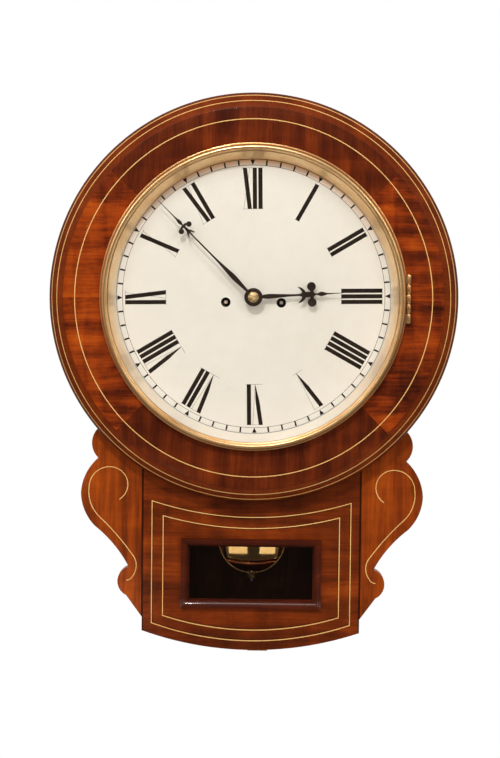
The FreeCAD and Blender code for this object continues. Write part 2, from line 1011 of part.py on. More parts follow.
def frame_line(name, shape, front):
    """A boxwood line round the trunk front, as a frame of two outlines."""
    half_width, top_drop, top_dip, foot_drop, foot_dip = shape
    back = surround_back + s.string_depth
    outer = board(
        f"{name}_outer",
        framed_outline(half_width, top_drop, top_dip, foot_drop, foot_dip),
        back,
        front,
        0,
        dial_z,
    )
    inner = board(
        f"{name}_inner",
        framed_outline(
            half_width - s.string_width,
            top_drop + s.string_width,
            top_dip,
            foot_drop - s.string_width,
            foot_dip,
        ),
        back,
        front,
        0,
        dial_z,
    )
    return cut(name, outer, [inner])


outer_frame = (
    s.outer_frame_half_width,
    s.outer_frame_top_drop,
    s.outer_frame_top_dip,
    s.outer_frame_foot_drop,
    s.outer_frame_foot_dip,
)
inner_frame = (
    s.inner_frame_half_width,
    s.inner_frame_top_drop,
    s.inner_frame_top_dip,
    s.inner_frame_foot_drop,
    s.inner_frame_foot_dip,
)
groove_front = surround_back - s.overrun
node(
    cut(
        "trunk_front_cut",
        trunk_blank,
        [
            window_cut,
            frame_line("outer_groove", outer_frame, groove_front),
            frame_line("inner_groove", inner_frame, groove_front),
            bar(
                "bottom_button_bore",
                button_bore,
                0,
                bottom_button_y,
                bottom_low - s.overrun,
                bottom_low + s.board_thickness,
            ),
        ],
    ),
    "trunk_front",
)

# Ears: scrolled brackets in the angle between surround and trunk, with a scrolled line in each
# Each share is (part of the ear's width outward, part of its height downward), two to an arc.
EAR_OUTLINE_SHARES = [
    (0.746, 0.0),
    (0.826, 0.072),
    (0.721, 0.152),
    (0.934, 0.246),
    (1.0, 0.338),
    (0.94, 0.432),
    (0.768, 0.516),
    (0.462, 0.613),
    (0.222, 0.73),
    (0.402, 0.808),
    (0.256, 0.885),
    (0.13, 0.942),
    (0.0, 1.0),
]
EAR_LINE_SHARES = [
    (0.374, 0.371),
    (0.241, 0.281),
    (0.466, 0.2),
    (0.753, 0.225),
    (0.867, 0.307),
    (0.841, 0.391),
    (0.68, 0.47),
    (0.431, 0.554),
    (0.175, 0.659),
    (0.095, 0.727),
    (0.154, 0.781),
    (0.197, 0.797),
    (0.256, 0.803),
]
ear_top = dial_z - s.ear_top_drop
ear_front = surround_back + s.ear_setback
depth_way = Vector(0, 1, 0)


def ear_point(share, sign):
    """A point of the ear on its front, from its shares."""
    across = sign * (float(half_box) + share[0] * float(s.ear_width))
    return Vector(across, float(ear_front), float(ear_top) - share[1] * float(s.ear_height))


def arcs_through(shares, sign):
    """Edges that pass through every share, one arc to each three."""
    points = [ear_point(share, sign) for share in shares]
    return [Part.Arc(*points[n : n + 3]).toShape() for n in range(0, len(points) - 2, 2)]


def ear_shape(sign):
    """One ear, from its front back to the thickness of its board."""
    edges = arcs_through(EAR_OUTLINE_SHARES, sign)
    start, end = ear_point(EAR_OUTLINE_SHARES[0], sign), ear_point(EAR_OUTLINE_SHARES[-1], sign)
    corner = Vector(end.x, start.y, start.z)
    edges.append(Part.makeLine(end, corner))
    edges.append(Part.makeLine(corner, start))
    face = Part.Face(Part.Wire(edges))
    return face.extrude(depth_way * float(s.ear_thickness))


def line_ribbon(sign, front, back):
    """The scrolled line of one ear, between two planes along the depth."""
    path = Part.Wire(arcs_through(EAR_LINE_SHARES, sign))
    ribbon = path.makeOffset2D(float(s.string_width) / 2, 0, False, False)
    face = Part.Face(ribbon)
    face.translate(depth_way * (float(front) - float(ear_front)))
    return face.extrude(depth_way * (float(back) - float(front)))


line_back = ear_front + s.string_depth
ears = []
ear_lines = []
for side, sign in (("left", -1), ("right", 1)):
    blank = feature(f"ear_blank_{side}", ear_shape(sign))
    groove = feature(f"ear_groove_{side}", line_ribbon(sign, ear_front - s.overrun, line_back))
    ears.append(cut(f"ear_{side}", blank, [groove]))
    ear_lines.append(feature(f"ear_line_{side}", line_ribbon(sign, ear_front, line_back)))
node(group("ears_pair", ears), "ears")

# Boxwood lines: three rings in the surround, two frames in the trunk and one scroll in each ear
surround_lines = [
    common(
        f"surround_line_{number}",
        [
            turned(f"surround_blank_for_line_{number}", surround_profile(), 0, dial_z),
            string_tube(f"surround_line_tube_{number}", radius, plane),
        ],
    )
    for number, (radius, plane) in enumerate(string_planes)
]
trunk_lines = [
    frame_line("outer_line", outer_frame, surround_back),
    frame_line("inner_line", inner_frame, surround_back),
]
node(group("lines", surround_lines + trunk_lines + ear_lines), "boxwood_stringing")

# Window: mitred moulding on the trunk front, a pane behind it and a bead frame behind the pane
moulding_back = surround_back
moulding_crest = moulding_back - s.window_moulding_proud
moulding_inner = moulding_back - s.window_moulding_edge


MOULDING_BULGE_SHARE = 0.16


def moulding_run(half_across, half_run, turn_angle):
    """One mitred length of the moulding below the window's centre, turned about it."""
    width = float(s.window_moulding_width)
    inner, outer = -float(half_across), -float(half_across) - width
    start = Vector(-float(half_run) - width, 0, 0)
    low = start + Vector(0, float(moulding_back), outer)
    crest = start + Vector(0, float(moulding_crest), outer)
    lip = start + Vector(0, float(moulding_inner), inner)
    end = start + Vector(0, float(moulding_back), inner)
    middle = (crest + lip) / 2
    bulge = Vector(0, lip.z - crest.z, crest.y - lip.y)
    middle += Vector(0, -abs(bulge.y), abs(bulge.z)) * MOULDING_BULGE_SHARE
    edges = [
        Part.makeLine(low, crest),
        Part.Arc(crest, middle, lip).toShape(),
        Part.makeLine(lip, end),
        Part.makeLine(end, low),
    ]
    length = 2 * (float(half_run) + width)
    run = Part.Face(Part.Wire(edges)).extrude(Vector(length, 0, 0))
    front = float(moulding_crest) - float(s.overrun)
    far = float(half_run) + width
    near = float(half_run)
    corners = [
        Vector(-far, front, outer),
        Vector(far, front, outer),
        Vector(near, front, inner),
        Vector(-near, front, inner),
    ]
    mitre = Part.Face(Part.makePolygon(corners + corners[:1]))
    mitre = mitre.extrude(depth_way * (float(moulding_back) - front))
    piece = run.common(mitre)
    piece.rotate(Vector(), depth_way, turn_angle)
    piece.translate(Vector(0, 0, float(window_z)))
    return piece


half_window_x = s.window_width / 2
half_window_z = s.window_height / 2
moulding_runs = [
    feature("moulding_foot", moulding_run(half_window_z, half_window_x, 0)),
    feature("moulding_left", moulding_run(half_window_x, half_window_z, 90)),
    feature("moulding_head", moulding_run(half_window_z, half_window_x, 180)),
    feature("moulding_right", moulding_run(half_window_x, half_window_z, 270)),
]
pane_back = surround_back + s.window_glass_thickness
pane_half_x = opening_half_x - s.fitting_gap
pane_half_z = opening_half_z - s.fitting_gap
bead_frame = cut(
    "window_beads",
    box(
        "bead_outer",
        (-opening_half_x, pane_back, window_z - opening_half_z),
        (opening_half_x, pane_back + s.bead_width, window_z + opening_half_z),
    ),
    [
        box(
            "bead_inner",
            (
                -opening_half_x + s.bead_width,
                pane_back - s.overrun,
                window_z - opening_half_z + s.bead_width,
            ),
            (
                opening_half_x - s.bead_width,
                pane_back + s.bead_width + s.overrun,
                window_z + opening_half_z - s.bead_width,
            ),
        )
    ],
)
node(group("window_frame", moulding_runs + [bead_frame]), "window_moulding")
node(
    box(
        "window_pane",
        (-pane_half_x, surround_back, window_z - pane_half_z),
        (pane_half_x, pane_back, window_z + pane_half_z),
    ),
    "window_glass",
)

# Doors, each on a pair of knuckle hinges, with a turn-button beside each
side_pin_x = half_box + s.door_knuckle_radius + s.fitting_gap
side_pin_y = side_door_back
knuckle_places = [side_door_bottom + s.door_knuckle_inset, side_door_top - s.door_knuckle_inset]


def side_knuckle(name, z, direction, leaf_end):
    """Half a hinge of the side door: a barrel on the pin and a leaf screwed to the wood."""
    bottom = z if direction > 0 else z - s.door_knuckle_length
    top = z + s.door_knuckle_length if direction > 0 else z
    barrel = bar(f"{name}_barrel", s.door_knuckle_radius, side_pin_x, side_pin_y, bottom, top)
    y_low, y_high = (leaf_end, side_pin_y) if direction > 0 else (side_pin_y, leaf_end)
    leaf = box(f"{name}_leaf", (half_box, y_low, bottom), (side_pin_x, y_high, top))
    return barrel, leaf


door_blank = box(
    "side_door_blank",
    (half_inside, side_door_front + s.door_gap, side_door_bottom + s.door_gap),
    (half_box, side_door_back - s.door_gap, side_door_top - s.door_gap),
)
door_parts = [door_blank]
fixed_hinges = []
for number, z in enumerate(knuckle_places):
    barrel, leaf = side_knuckle(
        f"side_door_hinge_{number}", z + s.door_gap, 1, side_pin_y - s.door_leaf_reach
    )
    door_parts += [
        cut(
            f"side_door_knuckle_{number}",
            fuse(f"side_door_knuckle_blank_{number}", [barrel, leaf]),
            [
                bar(
                    f"side_door_pin_bore_{number}",
                    s.door_pin_radius + s.running_gap,
                    side_pin_x,
                    side_pin_y,
                    z - s.overrun,
                    z + s.door_knuckle_length + s.overrun,
                )
            ],
        )
    ]
    barrel, leaf = side_knuckle(f"side_post_hinge_{number}", z, -1, side_pin_y + s.door_leaf_reach)
    pin = bar(
        f"side_hinge_pin_{number}",
        s.door_pin_radius,
        side_pin_x,
        side_pin_y,
        z - s.door_knuckle_length,
        z + s.door_knuckle_length,
    )
    fixed_hinges.append(fuse(f"side_post_knuckle_{number}", [barrel, leaf, pin]))
node(fuse("side_door_whole", door_parts), "side_door")

bottom_pin_z = bottom_low - s.door_gap
bottom_pin_y = inside_back - s.door_knuckle_radius - s.fitting_gap
bottom_door_back = bottom_pin_y - s.door_knuckle_radius - s.door_gap
bottom_door_front = trunk_front_back + s.bottom_door_front_gap
bottom_parts = [
    bottom_strip(
        "bottom_door_strip",
        -door_half + s.door_gap,
        door_half - s.door_gap,
        bottom_door_back,
        bottom_door_front,
    )
]
for side, sign in (("left", -1), ("right", 1)):
    middle = s.bottom_hinge_spread * sign
    left, right = middle, middle + s.door_knuckle_length
    bottom_parts.append(
        cut(
            f"bottom_door_knuckle_{side}",
            fuse(
                f"bottom_door_knuckle_blank_{side}",
                [
                    pin_across(
                        f"bottom_door_barrel_{side}",
                        s.door_knuckle_radius,
                        left + s.door_gap,
                        right,
                        bottom_pin_y,
                        bottom_pin_z,
                    ),
                    box(
                        f"bottom_door_leaf_{side}",
                        (left + s.door_gap, bottom_door_back, bottom_pin_z),
                        (right, bottom_pin_y, bottom_pin_z + s.door_leaf_reach),
                    ),
                ],
            ),
            [
                pin_across(
                    f"bottom_pin_bore_{side}",
                    s.door_pin_radius + s.running_gap,
                    left - s.overrun,
                    right + s.overrun,
                    bottom_pin_y,
                    bottom_pin_z,
                )
            ],
        )
    )
    fixed_hinges.append(
        fuse(
            f"bottom_post_knuckle_{side}",
            [
                pin_across(
                    f"bottom_post_barrel_{side}",
                    s.door_knuckle_radius,
                    left - s.door_knuckle_length,
                    left,
                    bottom_pin_y,
                    bottom_pin_z,
                ),
                box(
                    f"bottom_post_leaf_{side}",
                    (left - s.door_knuckle_length, bottom_pin_y, bottom_pin_z),
                    (left, inside_back, bottom_pin_z + s.door_leaf_reach),
                ),
                pin_across(
                    f"bottom_hinge_pin_{side}",
                    s.door_pin_radius,
                    left - s.door_knuckle_length,
                    right,
                    bottom_pin_y,
                    bottom_pin_z,
                ),
            ],
        )
    )
node(fuse("bottom_door_whole", bottom_parts), "bottom_door")
node(group("hinges_of_doors", fixed_hinges), "door_hinges")

side_button = fuse(
    "side_button_whole",
    [
        box(
            "side_button_bar",
            (side_button_x, side_button_y - s.button_width / 2, side_button_z - s.button_width / 2),
            (
                side_button_x + s.button_thickness,
                side_button_y + s.button_width / 2,
                side_button_z + s.button_length - s.button_width / 2,
            ),
        ),
        pin_across(
            "side_button_screw",
            s.screw_radius,
            half_inside + s.overrun,
            side_button_x,
            side_button_y,
            side_button_z,
        ),
    ],
)
node(side_button, "side_button")
bottom_button = fuse(
    "bottom_button_whole",
    [
        box(
            "bottom_button_bar",
            (
                -s.button_width / 2,
                bottom_button_y - s.button_width / 2,
                bottom_button_z - s.button_thickness,
            ),
            (
                s.button_length - s.button_width / 2,
                bottom_button_y + s.button_width / 2,
                bottom_button_z,
            ),
        ),
        bar(
            "bottom_button_screw",
            s.screw_radius,
            0,
            bottom_button_y,
            bottom_button_z,
            bottom_low + s.board_thickness,
        ),
    ],
)
node(bottom_button, "bottom_button")

# Bezel: a cast ring with its pane and sight ring, hinged at the right, with a stud at the left
glass_front = face_front - s.bezel_flange - s.glass_thickness - s.bezel_seat_wall
glass_back = glass_front + s.glass_thickness
bezel_crest = face_front - s.bezel_height
bezel_step_radius = s.bezel_radius - s.bezel_seat_wall
bezel_blank = turned(
    "bezel_blank",
    [
        (s.bezel_seat_radius, face_front),
        (s.bezel_radius, face_front),
        (s.bezel_radius, face_front - s.bezel_flange),
        (bezel_step_radius, face_front - s.bezel_flange - s.bezel_seat_wall, -s.bezel_bead_round),
        (s.bezel_bead_radius, bezel_crest, -s.bezel_crest_round),
        (s.bezel_seat_radius, glass_front - s.bezel_lip_thickness),
        (s.bezel_lip_radius, glass_front - s.bezel_lip_thickness),
        (s.bezel_lip_radius, glass_front),
        (s.bezel_seat_radius, glass_front),
    ],
    0,
    dial_z,
)
leaf_inner_x = s.bezel_seat_radius + s.bezel_seat_wall
leaf_thick = s.hinge_leaf_thickness
bezel_cutters = [
    bar(
        "hinge_notch",
        s.hinge_barrel_radius + s.fitting_gap,
        hinge_x,
        hinge_y,
        hinge_low - s.fitting_gap,
        hinge_high + s.fitting_gap,
    ),
    box(
        "bezel_leaf_recess",
        (leaf_inner_x, face_front - leaf_thick, hinge_low),
        (s.bezel_radius, face_front + s.overrun, hinge_high),
    ),
]
node(cut("bezel_notched", bezel_blank, [fuse("hinge_cutters", bezel_cutters)]), "bezel_ring")
node(
    turned(
        "sight_ring_body",
        [
            (s.glass_radius, glass_back),
            (s.glass_radius, glass_back + s.sight_wall),
            (s.sight_radius + s.sight_wall, dial_front - s.sight_to_dial),
            (s.sight_radius, dial_front - s.sight_to_dial),
            (s.glass_radius - s.sight_wall, glass_back),
        ],
        0,
        dial_z,
    ),
    "sight_ring",
)
node(
    turned(
        "bezel_pane",
        [
            (0, glass_back),
            (s.glass_radius, glass_back),
            (s.glass_radius, glass_front),
            (0, glass_front),
        ],
        0,
        dial_z,
    ),
    "bezel_glass",
)
HINGE_KNUCKLES = 5
knuckle_pitch = s.hinge_length / HINGE_KNUCKLES


def knuckle_span(number):
    """The low and high ends of one knuckle of the bezel's hinge."""
    low = hinge_low + knuckle_pitch * number
    return low + s.hinge_knuckle_gap / 2, low + knuckle_pitch - s.hinge_knuckle_gap / 2


bezel_leaf_parts = [
    box(
        "bezel_leaf_plate",
        (leaf_inner_x, face_front - leaf_thick, hinge_low),
        (hinge_x - s.hinge_barrel_radius - s.fitting_gap, face_front, hinge_high),
    )
]
for number in range(1, HINGE_KNUCKLES, 2):
    low, high = knuckle_span(number)
    bezel_leaf_parts.append(
        bar(f"bezel_barrel_{number}", s.hinge_barrel_radius, hinge_x, hinge_y, low, high)
    )
    bezel_leaf_parts.append(
        box(
            f"bezel_tab_{number}",
            (leaf_inner_x, face_front - leaf_thick, low),
            (hinge_x, face_front, high),
        )
    )
bezel_leaf = cut(
    "bezel_leaf_bored",
    fuse("bezel_leaf_blank", bezel_leaf_parts),
    [
        bar(
            "bezel_leaf_bore",
            s.hinge_pin_radius + s.running_gap,
            hinge_x,
            hinge_y,
            hinge_low - s.overrun,
            hinge_high + s.overrun,
        )
    ],
)
node(bezel_leaf, "bezel_hinge_leaf")
case_leaf_parts = [
    box(
        "case_leaf_plate",
        (leaf_left, face_front + s.fitting_gap, hinge_low),
        (leaf_right, face_front + s.hinge_leaf_depth, hinge_high),
    ),
    bar("hinge_pin", s.hinge_pin_radius, hinge_x, hinge_y, hinge_low, hinge_high),
]
for number in range(0, HINGE_KNUCKLES, 2):
    low, high = knuckle_span(number)
    case_leaf_parts.append(
        bar(f"case_barrel_{number}", s.hinge_barrel_radius, hinge_x, hinge_y, low, high)
    )
    case_leaf_parts.append(
        box(
            f"case_tab_{number}",
            (leaf_left, hinge_y, low),
            (leaf_right, face_front + s.hinge_leaf_depth, high),
        )
    )
leaf_pin = rod(
    "leaf_pin",
    s.leaf_pin_radius,
    leaf_pin_x,
    dial_z,
    face_front + s.hinge_leaf_depth,
    face_front,
)
node(group("case_hinge", [fuse("case_leaf", case_leaf_parts), leaf_pin]), "surround_hinge_leaf")
node(
    rod("bezel_stud", s.catch_radius, catch_x, dial_z, face_front + s.catch_length, face_front),
    "bezel_catch_stud",
)

# Dial on four feet
plate_front = dial_back + s.dial_foot_length
dial_blank = turned(
    "dial_blank",
    [
        (s.dial_hole_radius, dial_back),
        (s.dial_radius, dial_back),
        (s.dial_radius, dial_front),
        (s.dial_hole_radius, dial_front),
    ],
    0,
    dial_z,
)
winding_z = dial_z - s.winding_drop
dial_cutters = [
    rod(
        f"winding_hole_{side}",
        s.winding_hole_radius,
        s.winding_half_spread * sign,
        winding_z,
        dial_back + s.overrun,
        dial_front - s.overrun,
    )
    for side, sign in (("left", -1), ("right", 1))
]
dial_cutters += [
    rod(
        f"dial_edge_hole_{number}",
        s.screw_radius,
        x,
        dial_z + z,
        dial_back + s.overrun,
        dial_front - s.overrun,
    )
    for number, (x, z) in enumerate(spaced_screws())
]
node(cut("dial_holed", dial_blank, dial_cutters), "dial_plate")
foot_places = [
    (s.foot_half_spread * sign, dial_z + rise)
    for sign in (-1, 1)
    for rise in (s.foot_rise, -s.foot_drop)
]
plate_back = plate_front + s.plate_thickness
foot_end = plate_back + s.foot_tail_radius
feet = [
    fuse(
        f"dial_foot_{number}",
        [
            rod(f"foot_{number}", s.foot_radius, x, z, plate_front, dial_back),
            rod(f"foot_tail_{number}", s.foot_tail_radius, x, z, foot_end, plate_front),
        ],
    )
    for number, (x, z) in enumerate(foot_places)
]
node(group("feet", feet), "dial_feet")


# Hands: flat steel outlines in shares of each hand's length, standing up, then turned
def flat_piece(corners):
    """A flat face from corners (x, z)."""
    points = [Vector(x, 0, z) for x, z in corners]
    return Part.Face(Part.makePolygon(points + points[:1]))


def disc(radius, x=0.0, z=0.0):
    """A round face across the depth."""
    circle = Part.makeCircle(radius, Vector(x, 0, z), depth_way)
    return Part.Face(Part.Wire(circle))


def hand_shape(length, boss, bore, shares, front, angle):
    """A hand that points at an angle clockwise from the top, in millimetres about the dial centre."""
    wide, narrow, neck = [length * shares[name] for name in ("wide", "narrow", "neck")]
    belly_at, waist_at, horn_at, tip_at = [
        length * shares[name] for name in ("belly_at", "waist_at", "horn_at", "tip_at")
    ]
    disc_at, arm_at, peak_at, spear_at = [
        length * shares[name] for name in ("disc_at", "arm_at", "peak_at", "spear_at")
    ]
    horn_out, disc_out, disc_radius, spear = [
        length * shares[name] for name in ("horn_out", "disc_out", "disc_radius", "spear")
    ]
    blade = flat_piece(
        [
            (-narrow, 0),
            (-wide, belly_at),
            (-narrow, waist_at),
            (-narrow, horn_at),
            (-neck, disc_at),
            (-neck, spear_at),
            (-spear, (spear_at + peak_at) / 2),
            (-neck / 2, peak_at),
            (-neck / 4, length),
            (neck / 4, length),
            (neck / 2, peak_at),
            (spear, (spear_at + peak_at) / 2),
            (neck, spear_at),
            (neck, disc_at),
            (narrow, horn_at),
            (narrow, waist_at),
            (wide, belly_at),
            (narrow, 0),
        ]
    )
    ornaments = []
    for side in (-1, 1):
        spur = [(0, horn_at), (side * horn_out, tip_at), (side * narrow, horn_at + 2 * narrow)]
        arm = [
            (0, arm_at - neck),
            (side * disc_out, disc_at - neck),
            (side * disc_out, disc_at + neck),
            (0, arm_at + neck),
        ]
        ornaments += [flat_piece(spur), flat_piece(arm), disc(disc_radius, side * disc_out, disc_at)]
    thickness = float(s.hand_thickness)
    solids = [face.extrude(depth_way * thickness) for face in [disc(boss), blade] + ornaments]
    whole = solids[0].fuse(solids[1:]).removeSplitter()
    start = Vector(0, -float(s.overrun), 0)
    whole = whole.cut(Part.makeCylinder(bore, thickness + 2 * float(s.overrun), start, depth_way))
    whole.rotate(Vector(), depth_way, angle)
    whole.translate(Vector(0, front, float(dial_z)))
    return whole


MINUTE_SHARES = {
    "wide": 0.0185,
    "narrow": 0.0065,
    "neck": 0.006,
    "belly_at": 0.22,
    "waist_at": 0.42,
    "horn_at": 0.672,
    "tip_at": 0.648,
    "disc_at": 0.728,
    "arm_at": 0.757,
    "horn_out": 0.032,
    "disc_out": 0.041,
    "disc_radius": 0.0187,
    "spear_at": 0.75,
    "peak_at": 0.84,
    "spear": 0.0135,
}
HOUR_SHARES = {
    "wide": 0.0255,
    "narrow": 0.0085,
    "neck": 0.0085,
    "belly_at": 0.22,
    "waist_at": 0.5,
    "horn_at": 0.545,
    "tip_at": 0.505,
    "disc_at": 0.65,
    "arm_at": 0.65,
    "horn_out": 0.084,
    "disc_out": 0.088,
    "disc_radius": 0.0487,
    "spear_at": 0.69,
    "peak_at": 0.875,
    "spear": 0.0255,
}
MINUTE_ANGLE = 315.1
HOUR_ANGLE = 86.7
hour_front = dial_front - s.hour_hand_above_dial
minute_front = hour_front - s.minute_above_hour_hand
hour_back = hour_front + s.hand_thickness
minute_back = minute_front + s.hand_thickness
node(
    feature(
        "minute_hand_shape",
        hand_shape(
            float(s.minute_hand_length),
            float(s.hand_boss_radius),
            float(s.wheel_arbor_radius),
            MINUTE_SHARES,
            float(minute_front),
            MINUTE_ANGLE,
        ),
    ),
    "minute_hand",
)
node(
    feature(
        "hour_hand_shape",
        hand_shape(
            float(s.hour_hand_length),
            float(s.hour_boss_radius),
            float(s.hour_pipe_radius),
            HOUR_SHARES,
            float(hour_front),
            HOUR_ANGLE,
        ),
    ),
    "hour_hand",
)
collet_front = minute_front - s.collet_height
collet_round = arc_radius(s.collet_radius, s.collet_height)
node(
    turned(
        "collet_body",
        [
            (0, minute_front),
            (s.collet_radius, minute_front, -collet_round),
            (0, collet_front),
        ],
        0,
        dial_z,
    ),
    "hand_collet",
)

# Places of the arbors about the dial centre, as (x, height)
WHEEL_TEETH = {
    "going_great": 96,
    "strike_great": 84,
    "centre": 78,
    "third": 64,
    "escape": 40,
    "pin": 64,
    "gathering": 56,
    "warning": 48,
    "cannon": 36,
    "hour": 72,
}
PINION_LEAVES = {
    "centre": 8,
    "third": 8,
    "escape": 8,
    "pin": 8,
    "gathering": 8,
    "warning": 7,
    "fly": 6,
    "minute": 6,
}
CENTRE = (0.0, 0.0)
spread, drop = float(s.winding_half_spread), float(s.winding_drop)
GOING_FUSEE = (spread, -drop)
STRIKE_FUSEE = (-spread, -drop)
great_distance = math.hypot(spread, drop)
great_module = 2 * great_distance / (WHEEL_TEETH["going_great"] + PINION_LEAVES["centre"])


def reach_of(module, wheel, pinion):
    """The distance between the arbors of a wheel and the pinion it drives."""
    return module * (WHEEL_TEETH[wheel] + PINION_LEAVES[pinion]) / 2


def third_point(a, reach_a, b, reach_b, side):
    """The place that lies at two distances from two others, to one side of the way from a to b."""
    gap = math.hypot(b[0] - a[0], b[1] - a[1])
    along = (gap * gap + reach_a * reach_a - reach_b * reach_b) / (2 * gap)
    off = side * math.sqrt(reach_a * reach_a - along * along)
    ux, uz = (b[0] - a[0]) / gap, (b[1] - a[1]) / gap
    return a[0] + along * ux + off * uz, a[1] + along * uz - off * ux


def stepped(a, reach, degrees):
    """The place at a distance from another, at an angle from +X towards +Z."""
    angle = math.radians(degrees)
    return a[0] + reach * math.cos(angle), a[1] + reach * math.sin(angle)


going_module = float(s.going_module)
ESCAPE = (0.0, float(s.escape_height))
PALLET = (0.0, float(s.pallet_height))
THIRD = third_point(
    CENTRE,
    reach_of(going_module, "centre", "third"),
    ESCAPE,
    reach_of(going_module, "third", "escape"),
    1,
)
PIN_BEARING = 121.0
GATHERING_BEARING = 43.8
WARNING_BEARING = 124.4
FLY_BEARING = 41.4
PIN_WHEEL = stepped(STRIKE_FUSEE, reach_of(great_module, "strike_great", "pin"), PIN_BEARING)
GATHERING = stepped(
    PIN_WHEEL, reach_of(float(s.pin_module), "pin", "gathering"), GATHERING_BEARING
)
WARNING = stepped(
    GATHERING, reach_of(float(s.gathering_module), "gathering", "warning"), WARNING_BEARING
)
FLY = stepped(WARNING, reach_of(float(s.warning_module), "warning", "fly"), FLY_BEARING)
going_barrel_place = (float(s.barrel_spread), -float(s.barrel_drop))
strike_barrel_place = (-float(s.barrel_spread), -float(s.barrel_drop))
hammer_place = (-float(s.hammer_pivot_x), float(s.hammer_pivot_rise))
minute_place = (0.0, -float(s.cannon_module) * WHEEL_TEETH["cannon"])
rack_place = (-float(s.rack_pivot_x), -float(s.rack_pivot_drop))
hook_place = (-float(s.hook_pivot_x), float(s.hook_pivot_rise))
lifting_place = (-float(s.lifting_pivot_x), -float(s.lifting_pivot_drop))
inner_front = plate_back
inner_back = plate_back + s.plate_gap
back_plate_back = inner_back + s.plate_thickness


def depth_at(level):
    """The plane at a distance behind the front plate."""
    return float(inner_front) + float(level)


def bearing(a, b):
    """The angle of the way from a to b, in degrees from +X towards +Z."""
    return math.degrees(math.atan2(b[1] - a[1], b[0] - a[0]))


def cylinder_y(radius, place, front, back):
    """A cylinder along the depth about a place given from the dial centre."""
    base = Vector(place[0], front, place[1] + float(dial_z))
    return Part.makeCylinder(radius, back - front, base, depth_way)


# Shares of a module or of a tooth's pitch, for straight-sided teeth that run free
WHEEL_TOOTH_SHARES = {"add": 0.72, "ded": 1.05, "root": 0.5, "tip": 0.22}
PINION_TOOTH_SHARES = {"add": 0.5, "ded": 1.15, "root": 0.42, "tip": 0.26}


def gear(teeth, module, front, back, place, first_tooth, shares):
    """A gear whose first tooth points at an angle, between two planes along the depth."""
    pitch = 360 / teeth
    pitch_radius = module * teeth / 2
    outer = pitch_radius + shares["add"] * module
    root = pitch_radius - shares["ded"] * module
    corners = []
    for number in range(teeth):
        middle = first_tooth + number * pitch
        for radius, turn in (
            (root, -shares["root"] / 2),
            (outer, -shares["tip"] / 2),
            (outer, shares["tip"] / 2),
            (root, shares["root"] / 2),
        ):
            corners.append(stepped(place, radius, middle + turn * pitch))
    return flat_gear(corners, front, back)


def flat_gear(corners, front, back):
    """A flat prism from corners about the dial centre, between two planes along the depth."""
    points = [Vector(x, front, z + float(dial_z)) for x, z in corners]
    face = Part.Face(Part.makePolygon(points + points[:1]))
    return face.extrude(depth_way * (back - front))


def wheel_at(teeth, module, level, place, mate):
    """A wheel with a tooth that points at the arbor it drives."""
    front = depth_at(level)
    back = front + float(s.wheel_thickness)
    return gear(teeth, module, front, back, place, bearing(place, mate), WHEEL_TOOTH_SHARES)


def pinion_at(leaves, module, level, place, driver):
    """A pinion, centred on a wheel's level, with a gap that faces the wheel that drives it."""
    middle = depth_at(level) + float(s.wheel_thickness) / 2
    half = float(s.pinion_length) / 2
    first = bearing(place, driver) + 180 / leaves
    return gear(leaves, module, middle - half, middle + half, place, first, PINION_TOOTH_SHARES)


def arbor_at(place, radius):
    """A steel arbor between the plates with a pivot in each."""
    end = float(s.pivot_end)
    plate = float(s.plate_thickness)
    front, back = float(inner_front), float(inner_back)
    body = cylinder_y(float(radius), place, front + end, back - end)
    pivot = cylinder_y(float(s.pivot_radius), place, front - plate, back + plate)
    return body.fuse(pivot)


def wheel_group(name, wheel, arbor_parts):
    """A brass wheel on its steel arbor: two solids that meet at the wheel's bore."""
    arbor = arbor_parts[0].fuse(arbor_parts[1:])
    bored = wheel.cut(arbor)
    return feature(name, Part.makeCompound([bored, arbor]))


def fusee_train_wheel(teeth, mate, place):
    """A great wheel, loose on its fusee's arbor."""
    front = depth_at(s.great_wheel_level)
    back = front + float(s.great_wheel_thickness)
    wheel = gear(
        teeth, great_module, front, back, place, bearing(place, mate), WHEEL_TOOTH_SHARES
    )
    hub = cylinder_y(float(s.hub_radius), place, front, back + float(s.wheel_thickness))
    bore = cylinder_y(
        float(s.winding_arbor_radius + s.running_gap),
        place,
        front - float(s.overrun),
        back + float(s.wheel_thickness + s.overrun),
    )
    return wheel.fuse(hub).cut(bore)


node(
    feature(
        "going_great_shape",
        fusee_train_wheel(WHEEL_TEETH["going_great"], CENTRE, GOING_FUSEE),
    ),
    "going_great_wheel",
)
node(
    feature(
        "strike_great_shape",
        fusee_train_wheel(WHEEL_TEETH["strike_great"], PIN_WHEEL, STRIKE_FUSEE),
    ),
    "strike_great_wheel",
)

# Going train
great_level = s.great_wheel_level
centre_arbor = [
    arbor_at(CENTRE, s.wheel_arbor_radius),
    cylinder_y(float(s.wheel_arbor_radius), CENTRE, float(minute_front), float(inner_back)),
    pinion_at(PINION_LEAVES["centre"], great_module, great_level, CENTRE, GOING_FUSEE),
]
node(
    wheel_group(
        "centre_wheel_shape",
        wheel_at(WHEEL_TEETH["centre"], going_module, s.centre_wheel_level, CENTRE, THIRD),
        centre_arbor,
    ),
    "centre_wheel",
)
third_arbor = [
    arbor_at(THIRD, s.wheel_arbor_radius),
    pinion_at(PINION_LEAVES["third"], going_module, s.centre_wheel_level, THIRD, CENTRE),
]
node(
    wheel_group(
        "third_wheel_shape",
        wheel_at(WHEEL_TEETH["third"], going_module, s.third_wheel_level, THIRD, ESCAPE),
        third_arbor,
    ),
    "third_wheel",
)


# Shares of the escape wheel's pitch, from one tooth's foot over its tip to its other foot
ESCAPE_TOOTH_SHARES = (0.0, 0.125, 0.25, 0.5)


